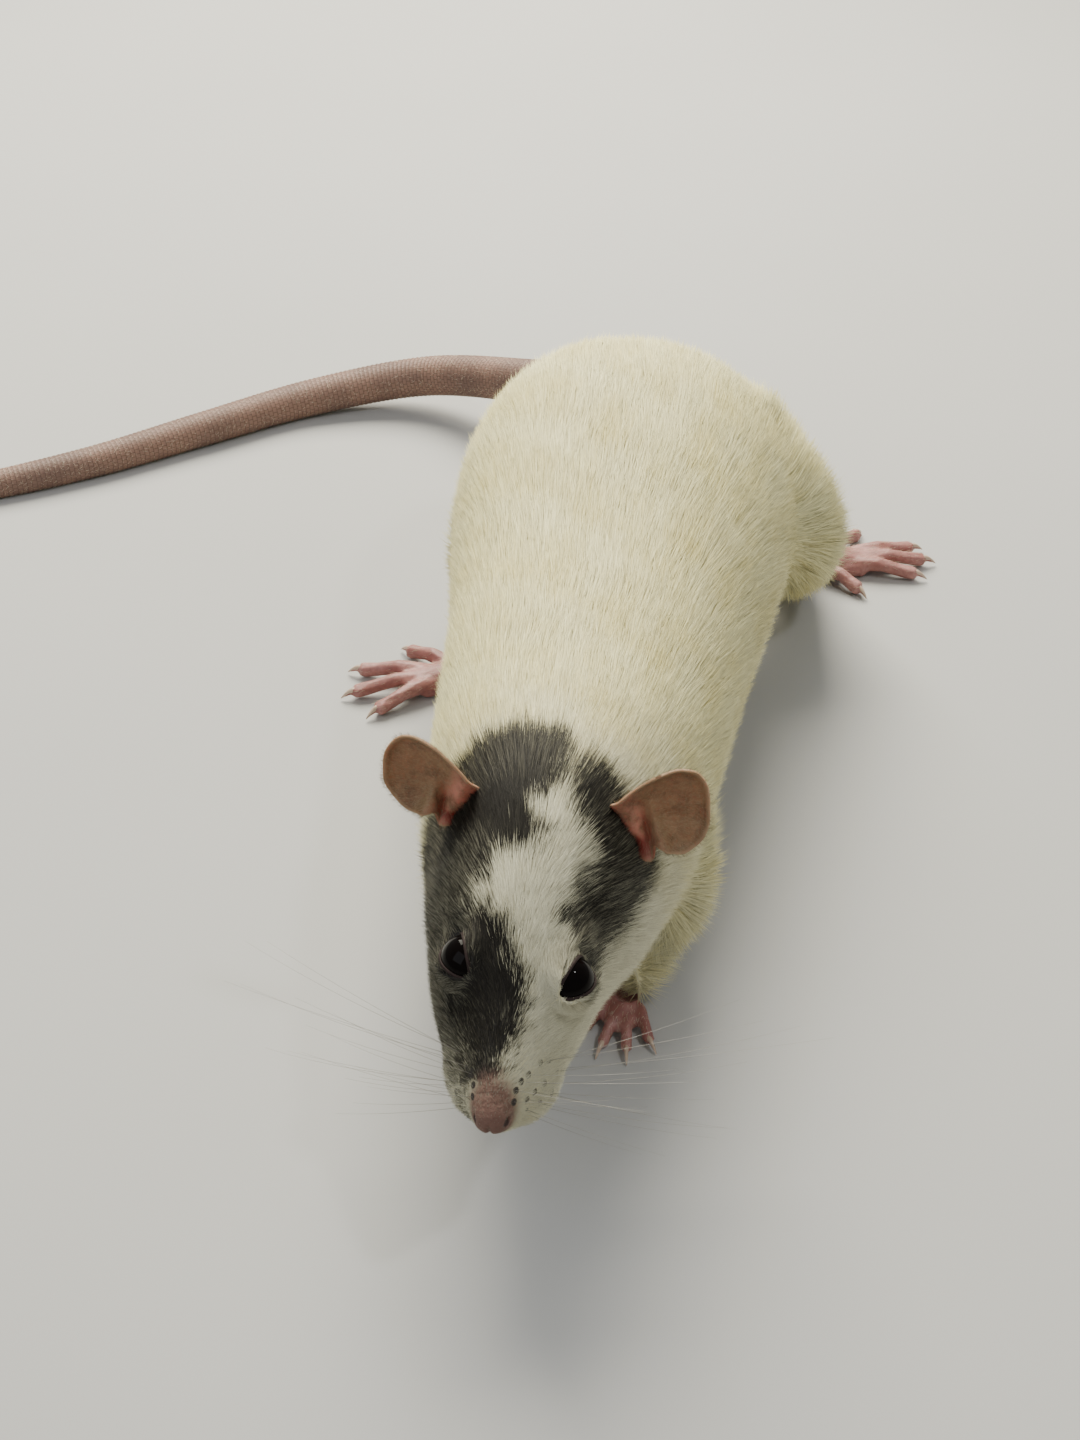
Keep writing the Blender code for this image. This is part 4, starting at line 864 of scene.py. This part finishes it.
# The ears.
# Thin bare skin over a sheet of gristle: a round lobe, a crease and a notch, and a funnel at the root, set
# low at the sides of the head and open forwards. Mottled brown with faint veins.
EAR_BACK, EAR_OUT, EAR_HEIGHT = 37.5, 11.0, 44.2
EAR_LEAN, EAR_FACING = (0.86, -0.28, 0.42), (0.30, 0.86, 0.30)
EAR_EDGE = [
    (11.0, 2.1), (12.4, -1.0), (12.2, -3.6), (10.7, -5.2), (8.0, -5.8), (5.4, -5.6), (3.0, -5.0), (0.8, -4.2),
    (-1.0, -2.8), (-1.6, -0.6), (-1.4, 2.6), (-0.1, 4.3), (1.4, 4.7), (2.8, 3.3), (4.0, 4.3), (5.8, 5.1),
    (8.2, 4.6), (10.0, 3.5),
]
EAR_MIDDLE = (4.6, -0.6)
EAR_SIDES = {"right": (-1, 0.78, 1.08), "left": (1, 1.25, 0.92)}
EAR_CUP, EAR_THICKNESS, EAR_RINGS, EAR_STEPS = 1.7, 0.42, 30, 7
EAR_FOLD, EAR_CREASE, EAR_FUNNEL, EAR_ROLL, EAR_RIPPLE = 0.8, 0.9, 1.0, 0.5, 0.10
EAR_SUNK_FROM, EAR_SUNK = 1.5, 4.6
SKIN_GLOW = {"ear": (0.0016, 0.0007, 0.0004), "foot": (0.0015, 0.0006, 0.0004)}


def glow(shader, radius):
    """Light carried a little way under thin skin, red furthest."""
    shader.inputs["Subsurface Weight"].default_value = 0.2
    shader.inputs["Subsurface Radius"].default_value = radius
    shader.inputs["Subsurface Scale"].default_value = 1.0


# Bare ear skin: satin and a little see-through, pink at the root, brown and mottled on the lobe, with
# veins about 1.4 mm apart and red in the folds.
ear_look, tree, shader = new_material("bare_ear_skin")
carried = ("from_root", "edge", "crease", "hollow")
values = {n: add(tree, "ShaderNodeAttribute", {}, attribute_name=n).outputs["Fac"] for n in carried}
mottle = clouds(tree, 3.03, 5.0, 0.65)
veins = clouds(tree, 1.429, 3.0, 0.6)
fine = clouds(tree, 0.4545, 3.0, 0.6)
colour = stain(tree, "#ae7664", "#7e6448", values["from_root"], 1.5, 4.5)
colour = stain(tree, colour, "#5d4731", mottle, 0.42, 0.66, 0.0, 0.8)
colour = stain(tree, colour, "#86523f", veins, 0.55, 0.7, 0.0, 0.35)
colour = stain(tree, colour, "#967e5f", fine, 0.4, 0.7, 0.0, 0.3)
colour = stain(tree, colour, "#a68b6d", values["edge"], 0.94, 1.0, 0.0, 0.6)
colour = stain(tree, colour, "#75402f", values["crease"], 0.2, 0.9, 0.0, 0.75)
colour = stain(tree, colour, "#742a24", values["hollow"], 0.2, 0.9, 0.0, 0.9)
relief = stain(tree, veins, fine, 0.5)
finish_look(tree, shader, colour, roughness=0.6, shine=0.3, relief=relief, strength=0.5, depth=0.2)
glow(shader, SKIN_GLOW["ear"])


def ear_points(way, front, rear):
    """Points of a pinna's sheet in millimetres, from its middle out to its edge in rings, and for each how
    far it is from the root, how near the edge, the crease and the hollow, and the way it faces."""
    root = on_body(EAR_BACK, way * EAR_OUT, EAR_HEIGHT)
    tip = body_way(EAR_BACK, way * EAR_LEAN[0], EAR_LEAN[1], EAR_LEAN[2])
    facing = body_way(EAR_BACK, way * EAR_FACING[0], EAR_FACING[1], EAR_FACING[2])
    facing = (facing - tip * facing.dot(tip)).normalized()
    ahead = tip.cross(facing).normalized() * way
    rows = np.array([(out, across * (front if across > 0 else rear)) for out, across in EAR_EDGE])
    around = np.vstack([rows[-2:], rows, rows[:3]])
    edge = smooth_curve(around, EAR_STEPS)[2 * EAR_STEPS : (2 + len(rows)) * EAR_STEPS]
    shares = np.sin(math.pi / 2 * np.arange(1, EAR_RINGS + 1) / EAR_RINGS)
    flat = np.array(EAR_MIDDLE) + (edge[None] - np.array(EAR_MIDDLE)) * shares[:, None, None]
    flat = np.vstack([[EAR_MIDDLE], flat.reshape(-1, 2)])
    share = np.concatenate([[0.0], np.repeat(shares, len(edge))])
    out, across = flat[:, 0], flat[:, 1] / front
    aside = out - 2.9 + 0.2 * across
    near_front = np.clip((across + 2.5) / 4, 0, 1)
    crease = np.exp(-((aside / 0.8) ** 2)) * near_front
    hollow = np.exp(-((out - 0.6) ** 2 + (across - 3.0) ** 2) / 2.5)
    depth = EAR_CUP * (1 - share**2) + EAR_CREASE * crease + EAR_FUNNEL * hollow
    depth -= EAR_FOLD * np.exp(-(((aside - 1.5) / 0.9) ** 2)) * near_front
    depth -= EAR_ROLL * np.exp(-(((share - 1.0) / 0.07) ** 2)) * smooth_share(out, 3.0, 6.0)
    depth += EAR_SUNK * (np.maximum(EAR_SUNK_FROM - out, 0.0) / (EAR_SUNK_FROM + 1.6)) ** 1.5
    depth += EAR_RIPPLE * waves(np.column_stack([flat, share]), 3.2, 41 + way)
    points = np.array(root) + out[:, None] * np.array(tip) + flat[:, 1:] * np.array(ahead)
    points = points - depth[:, None] * np.array(facing)
    looks = dict(from_root=out, edge=share, crease=crease, hollow=hollow)
    return points, looks, len(edge), np.array(tip)


EARS = {}
for name, side in EAR_SIDES.items():
    rows, looks, sides, tip = ear_points(*side)
    faces = [(0, 1 + c, 1 + (c + 1) % sides) for c in range(sides)]
    for r in range(EAR_RINGS - 1):
        for c in range(sides):
            n, a, b = (c + 1) % sides, 1 + r * sides, 1 + (r + 1) * sides
            faces.append((a + c, b + c, b + n, a + n))
    mesh = bpy.data.meshes.new("ear_sheet")
    mesh.from_pydata([tuple(p) for p in rows * MM], [], faces)
    for key, value in looks.items():
        set_values(mesh, key, value)
    EARS[name] = (rows, mesh_arrays(mesh)[1], looks, tip)
    ear = placed("ear_" + name + "_pinna", mesh)
    thick = ear.modifiers.new("thickness", "SOLIDIFY")
    thick.thickness = EAR_THICKNESS * MM
    thick.offset = 0.0
    ear.data = applied(ear)
    faced_outwards(ear.data)
    ear.data.shade_smooth()
    ear.data.materials.append(ear_look)
    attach(ear, "root")
    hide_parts("ear_" + name)

# The hairs of the ears: very short, on both faces and along the edge.
EAR_HAIRS, EAR_HAIR_LENGTH, EAR_HAIR_WIDTH, EAR_HAIR_LIFT = 4200, 0.6, 0.026, 18.0

# Fine hair: a soft shine and two near tones, pale on the feet and tail and browner on the ears.
pale_look = two_tone("fine_pale_hair", 1.667, "#bda988", "#e3d8c2", roughness=0.5)
ear_hair_look = two_tone("fine_ear_hair", 1.667, "#7c664a", "#a8946f", roughness=0.6)


def fine_hairs(name, roots, normals, ways, size, look=pale_look):
    """Sparse fine hairs on bare skin, of a length, width and lift."""
    count = len(roots)
    length, width, lift = size
    uv = unwrapped(roots, normals)
    ways = ways + draw.normal(size=ways.shape) * 0.22
    ways -= normals * (ways * normals).sum(1)[:, None]
    ways /= np.maximum(np.linalg.norm(ways, axis=1), 1e-6)[:, None]
    lengths = length * draw.uniform(0.6, 1.3, count)
    lifts = np.radians(lift * draw.uniform(0.5, 1.5, count))
    piece = spikes(name, roots, normals, ways, lengths, np.full(count, width), lifts, 0.3, 1, uv, {}, look)


for name, (rows, sheet_normals, looks, tip) in EARS.items():
    chance = looks["edge"] * (looks["from_root"] > 0.5)
    picked = draw.choice(len(rows), EAR_HAIRS, p=chance / np.sum(chance))
    flip = np.where(draw.uniform(size=EAR_HAIRS) < 0.5, -1.0, 1.0)[:, None]
    there, faced = rows[picked], sheet_normals[picked]
    roots_there = there + draw.normal(size=(EAR_HAIRS, 3)) * 0.12
    roots_there -= faced * ((roots_there - there) * faced).sum(1)[:, None]
    roots_there += faced * flip * (EAR_THICKNESS / 2)
    size = (EAR_HAIR_LENGTH, EAR_HAIR_WIDTH, EAR_HAIR_LIFT)
    outward = there - rows[0] + tip * 2.0
    fine_hairs("ear_" + name + "_hairs", roots_there, faced * flip, outward, size, ear_hair_look)

# The whiskers.
# Long springy tapering hairs in rows on the pad at each side of the muzzle, the rear ones longest. Each
# grows from its dark dot and bows back and down.
WHISKER_ROOT, WHISKER_POINT, WHISKER_STEPS, WHISKER_SIDES = 0.034, 0.010, 12, 3
WHISKER_SHORTEST, WHISKER_GROWTH, WHISKER_OFF_FLOOR = 10, 20, 0.4
PAD_DEPTH, PAD_TOP, PAD_HEIGHT = 12, 30.8, 8
UP = Vector((0.0, 0.0, 1.0))

# Smooth stiff hair: glossy, grey to pale along its length in drifts of 25 mm.
whisker_look = two_tone("whisker_hair", 25.0, "#5e5a50", "#a9a497", roughness=0.35, shine=0.6)
rows, faces = [], []
for way in (-1, 1):
    for b, o, h in WHISKER_ROOTS:
        start = Vector(points[gap_to(points, on_body(b, way * o, h)).argmin()])
        rear, low_row = min(b / PAD_DEPTH, 1.0), (PAD_TOP - h) / PAD_HEIGHT
        length = (WHISKER_SHORTEST + WHISKER_GROWTH * rear) * draw.uniform(0.8, 1.25)
        forward = 0.42 - 0.75 * rear + draw.normal(0, 0.08)
        raised = 0.32 - 0.6 * low_row + draw.normal(0, 0.08)
        first = body_way(b, way * 1.0, forward, raised)
        bend = body_way(b, way * -0.15, -0.7, -0.5) * draw.uniform(0.12, 0.34)
        aside = first.cross(UP).normalized()
        upward = aside.cross(first)
        base = len(rows)
        for k in range(WHISKER_STEPS + 1):
            t = k / WHISKER_STEPS
            at = start + (first * t + bend * t * t) * length
            at.z = max(at.z, WHISKER_OFF_FLOOR)
            thick = WHISKER_ROOT + (WHISKER_POINT - WHISKER_ROOT) * t
            rows += ring(at, aside * thick, upward * thick, WHISKER_SIDES)
        faces += tube_faces(base, WHISKER_STEPS + 1, WHISKER_SIDES)
new_piece("whiskers", rows, faces, whisker_look)

# The bare feet.
# Pink skin over fine bones, with folds across the toes and a few short white hairs. The claws are small
# pale cones of horn at the tips of the toes.
FOOT_VOXEL, FOOT_SMOOTHING = 0.24, 3
FOOT_NODES = ["forepaw_left", "forepaw_right", "hindfoot_left", "hindfoot_right"]

# Bare foot skin: satin pink, flushed in patches of 6 mm and creased about every 0.7 mm.
foot_look, tree, shader = new_material("bare_foot_skin")
flush = clouds(tree, 5.556, 4.0)
fine = clouds(tree, 0.7143, 4.0, 0.6)
colour = stain(tree, "#ab7a74", "#925e57", flush, 0.35, 0.65)
colour = stain(tree, colour, "#7c534d", fine, 0.4, 0.7, 0.0, 0.5)
finish_look(tree, shader, colour, roughness=0.5, relief=fine, strength=0.4, depth=0.15)
glow(shader, SKIN_GLOW["foot"])
foot_points = {}
for name in FOOT_NODES:
    foot = remeshed(name + "_skin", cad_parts[name].data.copy(), FOOT_VOXEL, FOOT_SMOOTHING)
    foot.data.materials.clear()
    foot.data.materials.append(foot_look)
    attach(foot, "root")
    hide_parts(name)
    foot_points[name] = mesh_arrays(foot.data)

# Claws: heel, heading, toe angles, side, and for each kind of foot its breadth, toe radius and toes.
HIND = (8.6, 1.45, [(13.5, 6.0), (19.0, 9.4), (20.0, 10.6), (19.4, 10.0), (15.5, 7.0)])
FORE = (5.8, 1.0, [(4.4, 3.8), (5.6, 4.8), (5.8, 4.8), (4.8, 4.0)])
STANDING = {
    "hindfoot_left": ((73.0, 46.5), 3.0, (-58.0, -16.0, 1.0, 15.0, 56.0), 1, HIND),
    "hindfoot_right": ((28.5, 14.5), 192.0, (-58.0, -27.0, -2.0, 24.0, 58.0), -1, HIND),
    "forepaw_left": ((43.8, -63.9), -102.0, (-38.0, -12.0, 12.0, 36.0), 1, FORE),
    "forepaw_right": ((23.4, -62.2), -94.0, (-36.0, -12.0, 12.0, 38.0), -1, FORE),
}
CLAW, CLAW_SUNK, CLAW_ARCH, CLAW_POINT, CLAW_FLATNESS = 2.3, 0.7, 0.55, 0.09, 0.8
TOE_SPREAD, CLAW_SIDES, CLAW_STEPS = 0.40, 10, 8
FOOT_HAIRS, FOOT_HAIR_SIZE = 420, (1.3, 0.04, 20.0)

# Horn: hard, pale and smooth, with a soft shine.
claw_look = two_tone("claw_horn", 1.111, "#cdb9a4", "#a88b78", roughness=0.3)
for name, (heel, heading, angles, side, (width, radius, toes)) in STANDING.items():
    turn = math.radians(heading)
    along, heel = Vector((math.cos(turn), math.sin(turn), 0.0)), Vector((*heel, 0.0))
    across = Vector((-along.y, along.x, 0.0)) * side
    rows, faces = [], []
    middle = (len(toes) - 1) / 2
    for index, ((start, length), angle) in enumerate(zip(toes, angles)):
        way = along * math.cos(math.radians(angle)) + across * math.sin(math.radians(angle))
        root = heel + along * start + across * ((index - middle) / middle * width * TOE_SPREAD)
        tip = root + way * length + UP * (radius * 1.12)
        point = root + way * (length + CLAW + 0.1) + UP * (radius * 0.36)
        sideways = way.cross(UP).normalized()
        base = len(rows)
        for k in range(CLAW_STEPS + 1):
            t = k / CLAW_STEPS
            at = tip - way * CLAW_SUNK + (point - tip + way * CLAW_SUNK) * t
            at += UP * (CLAW_ARCH * math.sin(math.pi * t))
            thick = radius * 0.46 * (1 - t) ** 0.7 + CLAW_POINT
            rows += ring(at, sideways * (CLAW_FLATNESS * thick), UP * thick, CLAW_SIDES, OFF_FLOOR)
        faces += tube_faces(base, CLAW_STEPS + 1, CLAW_SIDES)
    new_piece(name + "_claws", rows, faces, claw_look)
    there, upright = foot_points[name]
    top = np.flatnonzero((upright[:, 2] > 0.25) & (there[:, 2] > 1.4))
    rows = draw.choice(top, FOOT_HAIRS if name.startswith("hind") else FOOT_HAIRS // 2)
    ways_there = np.tile(np.array(along), (len(rows), 1))
    fine_hairs(name + "_hairs", there[rows], upright[rows], ways_there, FOOT_HAIR_SIZE)

# The tail.
# Bare scaly skin in narrow rings from root to tip, three short bristles to a scale, laid along the floor.
# The route is given as places with the tail's radius there.
TAIL_ROUTE = [
    (46.0, 57.0, 28.0, 3.6), (41.1, 74.0, 22.8, 4.8), (29.0, 91.0, 15.3, 4.4), (7.7, 106.4, 7.8, 4.05),
    (-16.3, 104.4, 4.0, 3.75), (-38.4, 92.4, 3.35, 3.45), (-57.0, 81.5, 3.0, 3.15), (-75.6, 73.0, 2.7, 2.85),
    (-93.0, 67.6, 2.15, 2.25), (-107.5, 65.6, 1.2, 1.25),
]
TAIL_RING, TAIL_SIDES, TAIL_STEPS, TAIL_SCALES = 0.95, 40, 4, 22
TAIL_SWELL, TAIL_OFF_FLOOR = 0.018, 0.05

# Scaly tail skin: dry and matt, in rings 0.95 mm apart of 22 scales each, with dark grooves between.
tail_look, tree, shader = new_material("scaly_tail_skin")
carried = ("along", "turn")
values = {n: add(tree, "ShaderNodeAttribute", {}, attribute_name=n).outputs["Fac"] for n in carried}
cloud = clouds(tree, 11.11, 4.0)
lay = add(tree, "ShaderNodeCombineXYZ", {0: values["turn"], 1: values["along"], 2: 0.0})
grooves = {"Vector": lay.outputs[0], "Mortar Size": 0.08, "Mortar Smooth": 0.6}
grooves.update({"Scale": 1.0, "Brick Width": 1.0, "Row Height": 1.0})
groove = add(tree, "ShaderNodeTexBrick", grooves, offset=0.5).outputs["Fac"]
colour = stain(tree, "#836455", "#6c5247", cloud, 0.35, 0.65)
colour = stain(tree, colour, "#4e382f", groove)
scale_tops = add(tree, "ShaderNodeMath", {0: 1.0, 1: groove}, operation="SUBTRACT").outputs[0]
finish_look(tree, shader, colour, roughness=0.6, relief=scale_tops, strength=0.5, depth=0.12)
dense = smooth_curve(TAIL_ROUTE, 40)
run = np.concatenate([[0], np.cumsum(np.linalg.norm(np.diff(dense[:, :3], axis=0), axis=1))])
at = np.arange(0, run[-1], TAIL_RING / TAIL_STEPS)
route = np.stack([np.interp(at, run, dense[:, k]) for k in range(4)], axis=1)
rings = len(route)
rows, side = [], None
for i, row in enumerate(route):
    along = Vector(route[min(i + 1, rings - 1)][:3] - route[max(i - 1, 0)][:3]).normalized()
    side = along.cross(UP) if side is None else side
    side = (side - along * side.dot(along)).normalized()
    up = along.cross(side).normalized()
    thick = row[3] * (1 + TAIL_SWELL * math.cos(2 * math.pi * at[i] / TAIL_RING))
    rows += ring(Vector(row[:3]), side * thick, up * thick, TAIL_SIDES, TAIL_OFF_FLOOR)
tail = new_piece("tail_skin", rows, tube_faces(0, rings, TAIL_SIDES), tail_look)
set_values(tail.data, "along", np.repeat(at / TAIL_RING, TAIL_SIDES))
set_values(tail.data, "turn", np.tile(np.arange(TAIL_SIDES) / TAIL_SIDES * TAIL_SCALES, rings))
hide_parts("tail_1", "tail_2", "tail_3", "tail_4", "tail_5")

# The bristles of the tail: short, fine and lying towards the tip.
TAIL_HAIRS, TAIL_HAIR_SIZE, BARE_RINGS = 5200, (1.15, 0.036, 16.0), 8
rows = np.array(rows)
tail_normals = mesh_arrays(tail.data)[1]
picked = draw.integers(BARE_RINGS * TAIL_SIDES, (rings - 2) * TAIL_SIDES, TAIL_HAIRS)
tail_ways = rows[np.minimum(picked + TAIL_SIDES, len(rows) - 1)] - rows[picked]
fine_hairs("tail_bristles", rows[picked], tail_normals[picked], tail_ways, TAIL_HAIR_SIZE)
